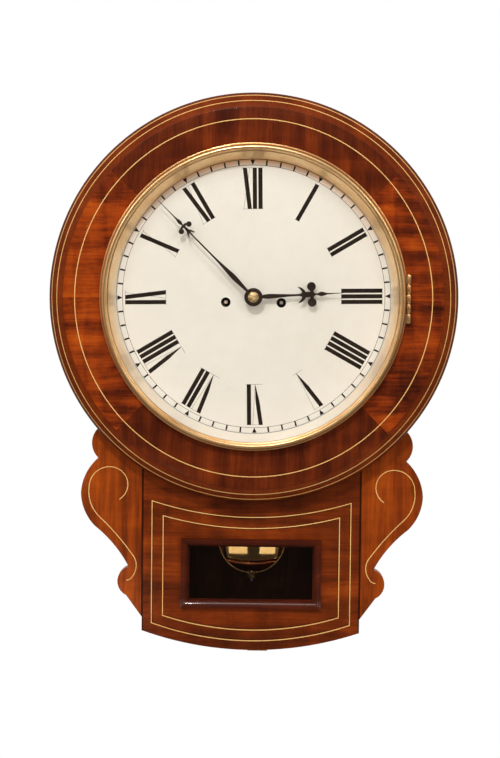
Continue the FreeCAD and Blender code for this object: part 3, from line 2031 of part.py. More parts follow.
def escape_wheel_shape():
    """The escape wheel, with pointed teeth that lean the way it turns."""
    front = depth_at(s.escape_wheel_level)
    outer, root = float(s.escape_radius), float(s.escape_radius - s.escape_tooth_depth)
    teeth = WHEEL_TEETH["escape"]
    pitch = 360 / teeth
    corners = []
    for number in range(teeth):
        for radius, share in zip((root, outer, outer, root), ESCAPE_TOOTH_SHARES):
            corners.append(stepped(ESCAPE, radius, (number + share) * pitch))
    return flat_gear(corners, front, front + float(s.wheel_thickness))


escape_arbor = [
    arbor_at(ESCAPE, s.wheel_arbor_radius),
    pinion_at(PINION_LEAVES["escape"], going_module, s.third_wheel_level, ESCAPE, THIRD),
]
node(
    wheel_group("escape_wheel_group", escape_wheel_shape(), escape_arbor),
    "escape_wheel",
)

# Pallets, with the crutch that leads them, on one arbor
# Each share is of the escape wheel's radius: (outward, upward) from the pallet arbor.
PALLET_SHARES = [
    (0.0, 0.26),
    (0.31, 0.18),
    (0.92, -0.51),
    (0.8, -0.7),
    (0.385, -0.258),
    (0.0, -0.196),
]
cock_back = back_plate_back + s.cock_reach
bridge_front = cock_back - s.cock_bridge
pendulum_y = cock_back + s.fitting_gap + s.spring_width / 2
pendulum_depth = float(pendulum_y)
crutch_front = float(back_plate_back) + float(s.crutch_from_plate)
crutch_half = float(s.crutch_width) / 2
fork_reach = float(s.rod_radius + s.fitting_gap + s.crutch_pin_radius)


def pallets_shape():
    """The anchor, its arbor and the crutch with a pin at each side of the pendulum rod."""
    front = depth_at(s.escape_wheel_level)
    size = float(s.escape_radius)
    half = [(PALLET[0] + x * size, PALLET[1] + z * size) for x, z in PALLET_SHARES]
    mirrored = [(2 * PALLET[0] - x, z) for x, z in half[-2:0:-1]]
    anchor = flat_gear(half + mirrored, front, front + float(s.wheel_thickness))
    end = float(s.pivot_end)
    arbor = cylinder_y(
        float(s.wheel_arbor_radius),
        PALLET,
        float(inner_front) + end,
        float(bridge_front) - end,
    )
    pivots = cylinder_y(
        float(s.pivot_radius),
        PALLET,
        float(inner_front - s.plate_thickness),
        float(cock_back - s.running_gap),
    )
    crutch_back = crutch_front + float(s.lever_thickness)
    low = PALLET[1] - float(s.crutch_drop)
    arm = flat_gear(
        [
            (-crutch_half, PALLET[1]),
            (-crutch_half, low),
            (crutch_half, low),
            (crutch_half, PALLET[1]),
        ],
        crutch_front,
        crutch_back,
    )
    hub = cylinder_y(float(s.small_hub_radius), PALLET, crutch_front, crutch_back)
    foot = flat_gear(
        [
            (-fork_reach - crutch_half, low - crutch_half),
            (fork_reach + crutch_half, low - crutch_half),
            (fork_reach + crutch_half, low + crutch_half),
            (-fork_reach - crutch_half, low + crutch_half),
        ],
        crutch_front,
        crutch_back,
    )
    pins = [
        cylinder_y(
            float(s.crutch_pin_radius),
            (sign * fork_reach, low),
            crutch_front,
            pendulum_depth + float(s.spring_width) / 2,
        )
        for sign in (-1, 1)
    ]
    steel = arbor.fuse([pivots, arm, hub, foot] + pins)
    return Part.makeCompound([anchor.cut(steel), steel])


node(feature("pallets_group", pallets_shape()), "pallets")

# Back cock, with the slit and pin that hold the suspension spring
chops_low = PALLET[1] + float(s.fitting_gap)


def block(x_low, x_high, y_low, y_high, z_low, z_high):
    """A block given about the dial centre across and in height, and from the wall in depth."""
    corner = Vector(x_low, y_low, z_low + float(dial_z))
    return Part.makeBox(x_high - x_low, y_high - y_low, z_high - z_low, corner)


def back_cock_shape():
    """A bridge on two legs with the chops of the suspension behind it."""
    half, leg = float(s.cock_half_width), float(s.cock_leg)
    low = PALLET[1] - float(s.cock_height) / 2
    high = low + float(s.cock_height)
    plate, front, back = float(back_plate_back), float(bridge_front), float(cock_back)
    parts = [block(-half, half, front, back, low, high)]
    for sign in (-1, 1):
        inner, outer = sorted((sign * (half - leg), sign * half))
        parts.append(block(inner, outer, plate, front, low, high))
    chops_back = back + float(s.chops_depth)
    chops_half = float(s.chops_half_width)
    chops_high = chops_low + float(s.chops_height)
    slit = float(s.spring_thickness + s.fitting_gap)
    parts.append(block(-chops_half, -slit, back, chops_back, chops_low, chops_high))
    parts.append(block(slit, chops_half, back, chops_back, chops_low, chops_high))
    pin_height = chops_low + float(s.chops_height) / 2
    pin = Part.makeCylinder(
        float(s.pivot_radius),
        2 * chops_half,
        Vector(-chops_half, pendulum_depth, pin_height + float(dial_z)),
        Vector(1, 0, 0),
    )
    cock = parts[0].fuse(parts[1:] + [pin])
    hole = cylinder_y(
        float(s.pivot_radius + s.running_gap),
        PALLET,
        front - float(s.overrun),
        back,
    )
    return cock.cut(hole)


node(feature("back_cock_shape", back_cock_shape()), "back_cock")


def suspension_shape():
    """A thin strip of spring steel that hangs in the cock, with a hole for its pin."""
    half_thick, half_wide = float(s.spring_thickness) / 2, float(s.spring_width) / 2
    high = chops_low + float(s.chops_height)
    low = PALLET[1] - float(s.spring_length)
    near, far = pendulum_depth - half_wide, pendulum_depth + half_wide
    strip = block(-half_thick, half_thick, near, far, low, high)
    pin_height = chops_low + float(s.chops_height) / 2
    hole = Part.makeCylinder(
        float(s.pivot_radius + s.fitting_gap),
        4 * half_wide,
        Vector(-2 * half_wide, pendulum_depth, pin_height + float(dial_z)),
        Vector(1, 0, 0),
    )
    return strip.cut(hole)


node(feature("suspension_strip", suspension_shape()), "suspension_spring")

# Pendulum: a rod with a block at its top, a lens-shaped bob and the rating nut below it
bob_z = s.pallet_height - s.pendulum_length
rod_top = s.pallet_height - s.spring_length
rod_low = bob_z - s.bob_radius - s.rod_below_bob
rod_piece = bar(
    "pendulum_bar", s.rod_radius, 0, pendulum_y, dial_z + rod_low, dial_z + rod_top
)
rod_block = box(
    "pendulum_block",
    (-s.rod_radius, pendulum_y - s.spring_width / 2, dial_z + rod_top - s.spring_block),
    (s.rod_radius, pendulum_y + s.spring_width / 2, dial_z + rod_top),
)
node(fuse("pendulum_rod_whole", [rod_piece, rod_block]), "pendulum_rod")
lens_round = arc_radius(s.bob_radius, s.bob_half_thickness - s.bob_edge / 2)
bob_lens = turned(
    "bob_lens",
    [
        (0, s.bob_half_thickness),
        (0, -s.bob_half_thickness, lens_round),
        (s.bob_radius, -s.bob_edge / 2),
        (s.bob_radius, s.bob_edge / 2, lens_round),
    ],
    0,
    dial_z + bob_z,
)
bind(bob_lens, "Placement.Base.y", pendulum_y)
bob_bore = bar(
    "bob_bore",
    s.rod_radius + s.running_gap,
    0,
    pendulum_y,
    dial_z + bob_z - s.bob_radius - s.overrun,
    dial_z + bob_z + s.bob_radius + s.overrun,
)
node(cut("bob_bored", bob_lens, [bob_bore]), "pendulum_bob")
nut_top = dial_z + bob_z - s.bob_radius
nut = turned_upright(
    "nut_body",
    [
        (s.rod_radius + s.running_gap, nut_top - s.nut_height),
        (s.nut_radius, nut_top - s.nut_height),
        (s.nut_radius, nut_top),
        (s.rod_radius + s.running_gap, nut_top),
    ],
)
bind(nut, "Placement.Base.y", pendulum_y)
node(nut, "rating_nut")


# Barrels with their mainsprings, on fixed arbors with a ratchet in front of the plate
def ring_y(place, inner, outer, front, back):
    """A tube along the depth."""
    tube = cylinder_y(outer, place, front, back)
    overrun = float(s.overrun)
    return tube.cut(cylinder_y(inner, place, front - overrun, back + overrun))


LINE_TURNS = 11


def barrel_shape(place):
    """A drum with two ends, the coiled spring inside it and the line wound on it."""
    front = depth_at(s.barrel_from_front)
    back = front + float(s.barrel_length)
    wall, radius = float(s.barrel_wall), float(s.barrel_radius)
    bore = float(s.winding_arbor_radius + s.running_gap)
    drum = ring_y(place, bore, radius, front, back)
    drum = drum.cut(cylinder_y(radius - wall, place, front + wall, back - wall))
    spring = ring_y(
        place,
        float(s.hub_radius),
        radius - wall - float(s.fitting_gap),
        front + wall + float(s.fitting_gap),
        back - wall - float(s.fitting_gap),
    )
    line = 2 * float(s.line_radius)
    line_back = depth_at(s.line_level) - line
    line_front = line_back - LINE_TURNS * line
    wound = ring_y(place, radius, radius + line, line_front, line_back)
    return Part.makeCompound([drum, spring, wound])


node(feature("going_barrel_group", barrel_shape(going_barrel_place)), "going_barrel")
node(feature("strike_barrel_group", barrel_shape(strike_barrel_place)), "strike_barrel")


def barrel_arbor(place):
    """A fixed arbor with a ratchet wheel on the front plate."""
    front = float(plate_front)
    thick = float(s.ratchet_thickness)
    arbor = cylinder_y(
        float(s.winding_arbor_radius), place, front - thick, float(inner_back + s.plate_thickness)
    )
    ratchet = cylinder_y(float(s.ratchet_radius), place, front - thick, front)
    return arbor.fuse(ratchet)


arbors = [barrel_arbor(going_barrel_place), barrel_arbor(strike_barrel_place)]
node(feature("barrel_arbor_pair", Part.makeCompound(arbors)), "barrel_arbors")


# Fusees, each with its winding square behind the dial
def fusee(name, place_x):
    """A cone on a round arbor that ends in a square at the front."""
    radius = s.winding_arbor_radius
    small = inner_front + s.fusee_from_front
    large = small + s.fusee_length
    body = turned(
        f"{name}_turned",
        [
            (0, back_plate_back),
            (radius, back_plate_back),
            (radius, large),
            (s.fusee_large_radius, large, s.fusee_curve),
            (s.fusee_small_radius, small),
            (radius, small),
            (radius, plate_front),
            (0, plate_front),
        ],
        place_x,
        winding_z,
    )
    half = s.winding_square / 2
    square = box(
        f"{name}_square",
        (place_x - half, dial_front + s.square_below_dial, winding_z - half),
        (place_x + half, plate_front, winding_z + half),
    )
    return fuse(f"{name}_whole", [body, square])


node(fusee("going_fusee_piece", s.winding_half_spread), "going_fusee")
node(fusee("strike_fusee_piece", -s.winding_half_spread), "strike_fusee")


def fusee_radius_at(level):
    """The fusee's radius at a level behind the front plate, on its curve's chord."""
    share = (float(level) - float(s.fusee_from_front)) / float(s.fusee_length)
    return float(s.fusee_small_radius) + share * float(s.fusee_large_radius - s.fusee_small_radius)


def fusee_line(a, b, sign):
    """The straight run of a line from its fusee to its barrel, on their outer sides."""
    clear = float(s.line_radius + s.fitting_gap)
    radius_a = fusee_radius_at(s.line_level) + clear
    radius_b = float(s.barrel_radius) + clear
    gap = math.hypot(b[0] - a[0], b[1] - a[1])
    lean = math.degrees(math.asin((radius_b - radius_a) / gap))
    angle = bearing(a, b) + sign * (90 + lean)
    start = stepped(a, radius_a, angle)
    end = stepped(b, radius_b, angle)
    level = depth_at(s.line_level)
    p = Vector(start[0], level, start[1] + float(dial_z))
    q = Vector(end[0], level, end[1] + float(dial_z))
    return Part.makeCylinder(float(s.line_radius), (q - p).Length, p, q - p)


fusee_runs = [
    fusee_line(GOING_FUSEE, going_barrel_place, 1),
    fusee_line(STRIKE_FUSEE, strike_barrel_place, -1),
]
node(feature("line_runs", Part.makeCompound(fusee_runs)), "fusee_lines")

# Motion work: cannon wheel on the centre arbor, minute wheel on its stud, hour wheel and snail
motion_front = float(plate_front) - float(s.motion_wheel_gap)
cannon_front = motion_front - float(s.motion_wheel_thickness)
cannon_module = float(s.cannon_module)
running = float(s.running_gap)


def pipe(radius, bore, front, back):
    """A pipe about the centre arbor."""
    return ring_y(CENTRE, bore, radius, front, back)


cannon_teeth = gear(
    WHEEL_TEETH["cannon"],
    cannon_module,
    cannon_front,
    motion_front,
    CENTRE,
    bearing(CENTRE, minute_place),
    WHEEL_TOOTH_SHARES,
)
cannon_pipe = pipe(
    float(s.cannon_outer_radius),
    float(s.wheel_arbor_radius),
    float(minute_back),
    motion_front,
)
cannon = cannon_teeth.cut(cylinder_y(float(s.wheel_arbor_radius), CENTRE, cannon_front, motion_front))
node(feature("cannon_shape", cannon.fuse(cannon_pipe)), "cannon_wheel")

hour_back = cannon_front - 2 * float(s.fitting_gap)
hour_wheel_front = hour_back - float(s.motion_wheel_thickness)
snail_front = hour_wheel_front - float(s.snail_thickness)
leaves_front = hour_wheel_front - float(s.fitting_gap)
hour_teeth_and_leaves = WHEEL_TEETH["hour"] + PINION_LEAVES["minute"]
hour_module = 2 * cannon_module * WHEEL_TEETH["cannon"] / hour_teeth_and_leaves
minute_pitch = 360 / WHEEL_TEETH["cannon"]
minute_teeth = gear(
    WHEEL_TEETH["cannon"],
    cannon_module,
    cannon_front,
    motion_front,
    minute_place,
    bearing(minute_place, CENTRE) + minute_pitch / 2,
    WHEEL_TOOTH_SHARES,
)
minute_leaves = gear(
    PINION_LEAVES["minute"],
    hour_module,
    leaves_front,
    cannon_front,
    minute_place,
    bearing(minute_place, CENTRE) + 180 / PINION_LEAVES["minute"],
    PINION_TOOTH_SHARES,
)
minute_bore = float(s.pivot_radius) + running
minute_wheel = minute_teeth.fuse(minute_leaves).cut(
    cylinder_y(
        minute_bore,
        minute_place,
        leaves_front - float(s.overrun),
        motion_front + float(s.overrun),
    )
)
node(feature("minute_wheel_shape", minute_wheel), "minute_wheel")


HOURS = 12


def snail_shape():
    """A step for each hour, which fall evenly from the highest radius to the lowest."""
    high, low = float(s.snail_high_radius), float(s.snail_low_radius)
    corners = []
    for hour in range(HOURS):
        radius = high - (high - low) * hour / (HOURS - 1)
        for turn in (0, 0.5, 1):
            corners.append(stepped(CENTRE, radius, (hour + turn) * 360 / HOURS))
    return flat_gear(corners, snail_front, hour_wheel_front)


hour_teeth = gear(
    WHEEL_TEETH["hour"],
    hour_module,
    hour_wheel_front,
    hour_back,
    CENTRE,
    bearing(CENTRE, minute_place),
    WHEEL_TOOTH_SHARES,
)
hour_pipe = cylinder_y(float(s.hour_pipe_radius), CENTRE, float(hour_front), hour_back)
hour_bore = float(s.cannon_outer_radius) + running
hour_wheel = hour_teeth.fuse([snail_shape(), hour_pipe]).cut(
    cylinder_y(
        hour_bore, CENTRE, float(hour_front) - float(s.overrun), hour_back + float(s.overrun)
    )
)
node(feature("hour_wheel_shape", hour_wheel), "hour_wheel")

# Striking train
pin_module = float(s.pin_module)
gathering_module = float(s.gathering_module)
warning_module = float(s.warning_module)
pin_front = depth_at(s.pin_wheel_level) + float(s.wheel_thickness)
LIFT_PINS = 8
lift_pins = [
    cylinder_y(
        float(s.pin_radius),
        stepped(PIN_WHEEL, float(s.pin_circle_radius), 360 * number / LIFT_PINS),
        pin_front - float(s.wheel_thickness) / 2,
        pin_front + float(s.pin_length),
    )
    for number in range(LIFT_PINS)
]
pin_wheel = wheel_at(WHEEL_TEETH["pin"], pin_module, s.pin_wheel_level, PIN_WHEEL, GATHERING)
node(
    wheel_group(
        "pin_wheel_shape",
        pin_wheel.fuse(lift_pins),
        [
            arbor_at(PIN_WHEEL, s.wheel_arbor_radius),
            pinion_at(PINION_LEAVES["pin"], great_module, great_level, PIN_WHEEL, STRIKE_FUSEE),
        ],
    ),
    "pin_wheel",
)
lever_front = float(plate_front) - float(s.rack_from_plate) - float(s.lever_thickness)
lever_back = lever_front + float(s.lever_thickness)
lever_half = float(s.lever_width) / 2
finger_end = stepped(GATHERING, float(s.gathering_finger), 0)
finger = flat_gear(
    [
        (GATHERING[0], GATHERING[1] - lever_half / 2),
        (finger_end[0], finger_end[1] - lever_half / 4),
        (finger_end[0], finger_end[1] + lever_half / 4),
        (GATHERING[0], GATHERING[1] + lever_half / 2),
    ],
    lever_front,
    lever_back,
)
node(
    wheel_group(
        "pallet_wheel_shape",
        wheel_at(
            WHEEL_TEETH["gathering"], gathering_module, s.pallet_wheel_level, GATHERING, WARNING
        ),
        [
            arbor_at(GATHERING, s.wheel_arbor_radius),
            pinion_at(
                PINION_LEAVES["gathering"], pin_module, s.pin_wheel_level, GATHERING, PIN_WHEEL
            ),
            cylinder_y(float(s.pivot_radius), GATHERING, lever_front, float(plate_front)),
            finger,
        ],
    ),
    "pallet_wheel",
)
node(
    wheel_group(
        "warning_wheel_shape",
        wheel_at(WHEEL_TEETH["warning"], warning_module, s.warning_wheel_level, WARNING, FLY),
        [
            arbor_at(WARNING, s.fine_arbor_radius),
            pinion_at(
                PINION_LEAVES["warning"],
                gathering_module,
                s.pallet_wheel_level,
                WARNING,
                GATHERING,
            ),
        ],
    ),
    "warning_wheel",
)


def fly_shape():
    """The fly: two thin vanes on an arbor with a pinion."""
    front = depth_at(s.fly_from_front)
    half = float(s.fly_thickness) / 2
    reach = float(s.fly_radius)
    vanes = flat_gear(
        [
            (FLY[0] - reach, FLY[1] - half),
            (FLY[0] + reach, FLY[1] - half),
            (FLY[0] + reach, FLY[1] + half),
            (FLY[0] - reach, FLY[1] + half),
        ],
        front,
        front + float(s.fly_length),
    )
    pinion = pinion_at(
        PINION_LEAVES["fly"], warning_module, s.warning_wheel_level, FLY, WARNING
    )
    return arbor_at(FLY, s.fine_arbor_radius).fuse([vanes, pinion])


node(feature("fly_whole", fly_shape()), "fly")


# Rack, rack hook and lifting piece, each on a stud in front of the plate
def lever(place, ends, front, back, extras=()):
    """A lever with a round boss on its stud and a straight arm to each end."""
    pieces = [cylinder_y(float(s.lever_boss_radius), place, front, back)]
    for end in ends:
        way = bearing(place, end)
        corners = [
            stepped(place, lever_half, way - 90),
            stepped(end, lever_half / 2, way - 90),
            stepped(end, lever_half / 2, way + 90),
            stepped(place, lever_half, way + 90),
        ]
        pieces.append(flat_gear(corners, front, back))
    whole = pieces[0].fuse(pieces[1:] + list(extras))
    bore = float(s.stud_radius) + running
    overrun = float(s.overrun)
    return whole.cut(cylinder_y(bore, place, front - overrun, back + overrun)).removeSplitter()


rack_radius = float(s.rack_radius)
rack_inner = rack_radius - float(s.rack_rim)
rack_middle = bearing(rack_place, GATHERING)
RACK_TOOTH_DEGREES = 1.1
RACK_TEETH = 14
RACK_TAIL_BEARING = 24.2
LIFTING_BEARING = 25.0
WARNING_ARM_BEARING = 110.0


def rack_teeth():
    """The toothed arc of the rack."""
    corners = []
    for number in range(RACK_TEETH):
        angle = rack_middle - RACK_TOOTH_DEGREES + number * RACK_TOOTH_DEGREES
        corners.append(stepped(rack_place, rack_radius - float(s.rack_tooth_depth), angle))
        corners.append(stepped(rack_place, rack_radius, angle + RACK_TOOTH_DEGREES / 2))
    end = rack_middle + RACK_TEETH * RACK_TOOTH_DEGREES
    corners.append(stepped(rack_place, rack_inner, end))
    corners.append(stepped(rack_place, rack_inner, rack_middle - RACK_TOOTH_DEGREES))
    return flat_gear(corners, lever_front, lever_back)


rack_arc_end = stepped(
    rack_place, rack_inner, rack_middle + RACK_TEETH * RACK_TOOTH_DEGREES / 2
)
tail_end = stepped(rack_place, float(s.rack_tail), RACK_TAIL_BEARING)
tail_pin = cylinder_y(
    float(s.pin_radius), tail_end, lever_front, snail_front - float(s.fitting_gap)
)
rack_extras = [rack_teeth(), tail_pin]
rack = lever(rack_place, [rack_arc_end, tail_end], lever_front, lever_back, rack_extras)
node(feature("rack_shape", rack), "rack")
hook_end = stepped(
    rack_place,
    rack_radius + lever_half,
    rack_middle + (RACK_TEETH - 2) * RACK_TOOTH_DEGREES,
)
node(
    feature("hook_shape", lever(hook_place, [hook_end], lever_front, lever_back)),
    "rack_hook",
)
lift_front = float(plate_front) - float(s.fitting_gap) - float(s.lever_thickness)
lift_back = lift_front + float(s.lever_thickness)
lift_end = stepped(lifting_place, float(s.lifting_arm), LIFTING_BEARING)
warn_end = stepped(lifting_place, float(s.warning_arm), WARNING_ARM_BEARING)
node(
    feature("lifting_shape", lever(lifting_place, [lift_end, warn_end], lift_front, lift_back)),
    "lifting_piece",
)


# Hammer, with its tail near the pins and its head beside the bell
def hammer_shape():
    """An arbor between the plates with a tail, an upright rod and a round head."""
    tail_front = pin_front + float(s.fitting_gap)
    tail_back = pin_front + float(s.pin_length)
    tail_end = stepped(hammer_place, float(s.hammer_tail), bearing(hammer_place, PIN_WHEEL))
    way = bearing(hammer_place, tail_end)
    tail = flat_gear(
        [
            stepped(hammer_place, lever_half, way - 90),
            stepped(tail_end, lever_half / 2, way - 90),
            stepped(tail_end, lever_half / 2, way + 90),
            stepped(hammer_place, lever_half, way + 90),
        ],
        tail_front,
        tail_back,
    )
    head_z = float(s.bell_rim_rise) + float(s.hammer_head_radius)
    base = Vector(hammer_place[0], -float(s.bell_y), hammer_place[1] + float(dial_z))
    upright = Part.makeCylinder(
        float(s.hammer_rod_radius), head_z - hammer_place[1], base, Vector(0, 0, 1)
    )
    head_end = -float(s.bell_x) - float(s.bell_radius) - float(s.fitting_gap)
    head = Part.makeCylinder(
        float(s.hammer_head_radius),
        float(s.hammer_head_length),
        Vector(head_end - float(s.hammer_head_length), -float(s.bell_y), head_z + float(dial_z)),
        Vector(1, 0, 0),
    )
    return arbor_at(hammer_place, s.wheel_arbor_radius).fuse([tail, upright, head])


node(feature("hammer_whole", hammer_shape()), "hammer")

# Bell on a stand from the back plate
bell_low = dial_z + s.bell_rim_rise
bell_top = bell_low + s.bell_height
bell_outer_round = arc_radius(s.bell_radius, s.bell_height)
bell_inner_radius = s.bell_radius - s.bell_wall
bell_inner_top = bell_top - s.bell_wall
bell_inner_round = arc_radius(bell_inner_radius, s.bell_height - s.bell_wall)
bell_body = turned_upright(
    "bell_body",
    [
        (bell_inner_radius, bell_low),
        (s.bell_radius, bell_low, bell_outer_round),
        (0, bell_top),
        (0, bell_inner_top, -bell_inner_round),
    ],
    -s.bell_x,
    -s.bell_y,
)
stand_plate = back_plate_back
stand_half = s.bell_stand_half_width
stand_thick = s.plate_thickness
stand_low = dial_z + s.pallet_height + s.cock_height / 2 + s.fitting_gap
stand_high = bell_low - s.bell_post_radius
bell_cut = cut(
    "bell_bored",
    bell_body,
    [bar("bell_bore", s.bell_post_radius, -s.bell_x, -s.bell_y, bell_low, bell_top + s.overrun)],
)
bell_stand = fuse(
    "bell_stand",
    [
        box(
            "stand_upright",
            (-s.bell_x - stand_half, stand_plate, stand_low),
            (-s.bell_x + stand_half, stand_plate + stand_thick, stand_high),
        ),
        box(
            "stand_arm",
            (-s.bell_x - stand_half, -s.bell_y - stand_half, stand_high - stand_thick),
            (-s.bell_x + stand_half, stand_plate + stand_thick, stand_high),
        ),
        bar(
            "stand_post",
            s.bell_post_radius,
            -s.bell_x,
            -s.bell_y,
            stand_high - stand_thick,
            bell_top + stand_thick,
        ),
        bar(
            "stand_nut",
            stand_half,
            -s.bell_x,
            -s.bell_y,
            bell_top,
            bell_top + stand_thick,
        ),
    ],
)
node(group("bell_on_stand", [bell_cut, bell_stand]), "bell")

# Movement plates, pillars and studs
winding_bore = s.winding_arbor_radius + s.running_gap
pivot_bore = s.pivot_radius + s.running_gap
pillar_places = [
    (s.pillar_half_spread * sign, dial_z + rise)
    for sign in (-1, 1)
    for rise in (s.pillar_rise, -s.pillar_drop)
] + [(0, dial_z - s.pillar_drop)]
PIVOTS = [THIRD, ESCAPE, PALLET, PIN_WHEEL, GATHERING, WARNING, FLY, hammer_place]
WINDING_BORES = [GOING_FUSEE, STRIKE_FUSEE, going_barrel_place, strike_barrel_place]


def plate_holes_at(front, back, skip_pallet):
    """Cutters for every arbor that runs in a plate."""
    holes = []
    wide = float(winding_bore)
    low, high = front - float(s.overrun), back + float(s.overrun)
    for place_of in WINDING_BORES:
        holes.append(cylinder_y(wide, place_of, low, high))
    for place_of in PIVOTS:
        radius = float(pivot_bore)
        if skip_pallet and place_of == PALLET:
            radius = float(s.hub_radius)
        holes.append(cylinder_y(radius, place_of, low, high))
    centre = float(s.wheel_arbor_radius + s.running_gap)
    holes.append(cylinder_y(centre if not skip_pallet else float(pivot_bore), CENTRE, low, high))
    return holes


def movement_plate(name, back, front, skip_pallet):
    """A brass plate bored for its arbors."""
    blank = board(
        f"{name}_blank",
        [
            (-s.plate_half_width, dial_z + s.plate_rise),
            (-s.plate_half_width, dial_z - s.plate_drop),
            (s.plate_half_width, dial_z - s.plate_drop),
            (s.plate_half_width, dial_z + s.plate_rise),
        ],
        back,
        front,
    )
    cutters = Part.makeCompound(plate_holes_at(float(front), float(back), skip_pallet))
    return cut(f"{name}_bored", blank, [feature(f"{name}_bores", cutters)])


def stud(place_of, front, radius):
    """A steel stud that stands on the front plate."""
    return cylinder_y(radius, place_of, front, float(plate_front))


front_plate_whole = movement_plate("front_plate_piece", plate_back, plate_front, False)
foot_holes = [
    rod(
        f"foot_hole_{number}",
        s.foot_tail_radius,
        x,
        z,
        plate_back + s.overrun,
        plate_front - s.overrun,
    )
    for number, (x, z) in enumerate(foot_places)
]
studs = [
    stud(minute_place, leaves_front, float(s.pivot_radius)),
    stud(rack_place, lever_front, float(s.stud_radius)),
    stud(hook_place, lever_front, float(s.stud_radius)),
    stud(lifting_place, lift_front, float(s.stud_radius)),
]
node(
    group(
        "front_plate_group",
        [
            cut("front_plate_holed", front_plate_whole, foot_holes),
            feature("plate_studs", Part.makeCompound(studs)),
        ],
    ),
    "front_plate",
)
node(movement_plate("back_plate_piece", back_plate_back, inner_back, True), "back_plate")
pillars = [
    rod(f"pillar_{number}", s.pillar_radius, x, z, inner_back, inner_front)
    for number, (x, z) in enumerate(pillar_places)
]
node(group("pillars", pillars), "plate_pillars")

# Check every piece, then write each sub-part to its own file
doc.recompute()
for thing in doc.Objects:
    if "Invalid" in thing.State or "Error" in thing.State:
        raise RuntimeError(f"{thing.Name} did not build")
os.makedirs("parts", exist_ok=True)
for thing in nodes:
    if thing.Shape.isNull() or not thing.Shape.isValid():
        raise RuntimeError(f"{thing.Label} has no valid shape")
    thing.Shape.exportStep(f"parts/{thing.Label}.step")
    print(thing.Label, len(thing.Shape.Solids), round(thing.Shape.Volume))
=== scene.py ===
import json
import math
import bmesh
import bpy
from bpy.props import FloatProperty, FloatVectorProperty, PointerProperty
from mathutils import Matrix, Vector

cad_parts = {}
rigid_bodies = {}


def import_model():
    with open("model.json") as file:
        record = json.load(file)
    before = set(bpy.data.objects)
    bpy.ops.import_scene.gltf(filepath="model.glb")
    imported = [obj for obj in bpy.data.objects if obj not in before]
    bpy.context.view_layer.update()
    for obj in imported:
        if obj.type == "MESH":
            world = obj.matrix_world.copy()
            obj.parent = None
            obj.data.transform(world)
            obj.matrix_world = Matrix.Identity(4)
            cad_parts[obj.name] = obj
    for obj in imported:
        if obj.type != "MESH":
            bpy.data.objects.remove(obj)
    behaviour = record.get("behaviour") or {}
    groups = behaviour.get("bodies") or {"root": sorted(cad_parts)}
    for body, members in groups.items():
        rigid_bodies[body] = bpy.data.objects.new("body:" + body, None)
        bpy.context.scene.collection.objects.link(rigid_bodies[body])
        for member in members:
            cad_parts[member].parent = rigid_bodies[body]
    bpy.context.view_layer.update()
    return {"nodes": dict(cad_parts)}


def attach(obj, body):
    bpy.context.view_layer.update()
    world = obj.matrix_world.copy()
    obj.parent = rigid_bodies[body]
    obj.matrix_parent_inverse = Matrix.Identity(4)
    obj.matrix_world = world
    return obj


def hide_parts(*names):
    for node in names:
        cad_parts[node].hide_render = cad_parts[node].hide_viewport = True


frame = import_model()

bl_info = {
    "name": "Drop dial wall clock",
    "version": (1, 0, 0),
    "blender": (4, 5, 0),
    "location": "View3D > Sidebar > Clock",
    "description": "Dresses the packed clock: veneered case, brass bezel, printed dial, hands and movement",
    "category": "Object",
}

# Lengths in the tables below are in millimetres, as (radius, depth) or (across, height).
# The wall is at depth 0 and the front faces the negative depth.
# Heights are about the dial's centre. Those that end in _Z or _z are about the clock's own origin.
MM = 0.001
DIAL_Z = -170.0
DIAL_FRONT = -130.0
SURROUND_BACK = -112.0
SURROUND_Z = DIAL_Z - 1.8
FACE = -144.0
ARBOR_X, ARBOR_DROP = 30.2, 6.1
BOB_Z = -447.85


def srgb(red, green, blue):
    """A colour given in 0 to 255 steps, as linear light."""
    linear = []
    for step in (red, green, blue):
        share = step / 255
        linear.append(share / 12.92 if share <= 0.04045 else ((share + 0.055) / 1.055) ** 2.4)
    return (*linear, 1.0)


def swept(x, y, radius, first, turn, steps):
    """Points about a centre, from one angle on over a turn."""
    angles = [first + turn * n / steps for n in range(steps + 1)]
    return [(x + radius * math.cos(angle), y + radius * math.sin(angle)) for angle in angles]


def round_outline(radius, count, x=0.0, y=0.0):
    """A round outline about a centre."""
    return swept(x, y, radius, 0.0, math.tau, count)[:-1]


def rectangle(left, low, right, high):
    """An outline with square corners."""
    return [(left, low), (left, high), (right, high), (right, low)]


def arc_centre(start, end, radius, side):
    """The centre of an arc between two points. With side -1 it is right of the way."""
    a, b = Vector(start), Vector(end)
    way = b - a
    normal = Vector((-way.y, way.x)).normalized()
    return (a + b) / 2 + normal * math.sqrt(max(radius**2 - way.length**2 / 4, 0)) * side


def arc(start, end, radius, steps, side=-1):
    """Points from start up to end along an arc."""
    centre = arc_centre(start, end, radius, side)
    first, last = (math.atan2(y - centre.y, x - centre.x) for x, y in (Vector(start), Vector(end)))
    turn = (last - first + math.pi) % math.tau - math.pi
    return swept(centre.x, centre.y, radius, first, turn, steps)


def through(a, b, c, steps):
    """Points along the arc that starts at a, passes through b and ends at c."""
    (ax, ay), (bx, by), (cx, cy) = a, b, c
    d = 2 * (ax * (by - cy) + bx * (cy - ay) + cx * (ay - by))
    a2, b2, c2 = ax**2 + ay**2, bx**2 + by**2, cx**2 + cy**2
    x = (a2 * (by - cy) + b2 * (cy - ay) + c2 * (ay - by)) / d
    y = (a2 * (cx - bx) + b2 * (ax - cx) + c2 * (bx - ax)) / d
    first = math.atan2(ay - y, ax - x)
    middle = (math.atan2(by - y, bx - x) - first) % math.tau
    turn = (math.atan2(cy - y, cx - x) - first) % math.tau
    if middle > turn:
        turn -= math.tau
    return swept(x, y, math.hypot(ax - x, ay - y), first, turn, steps)


# Making pieces


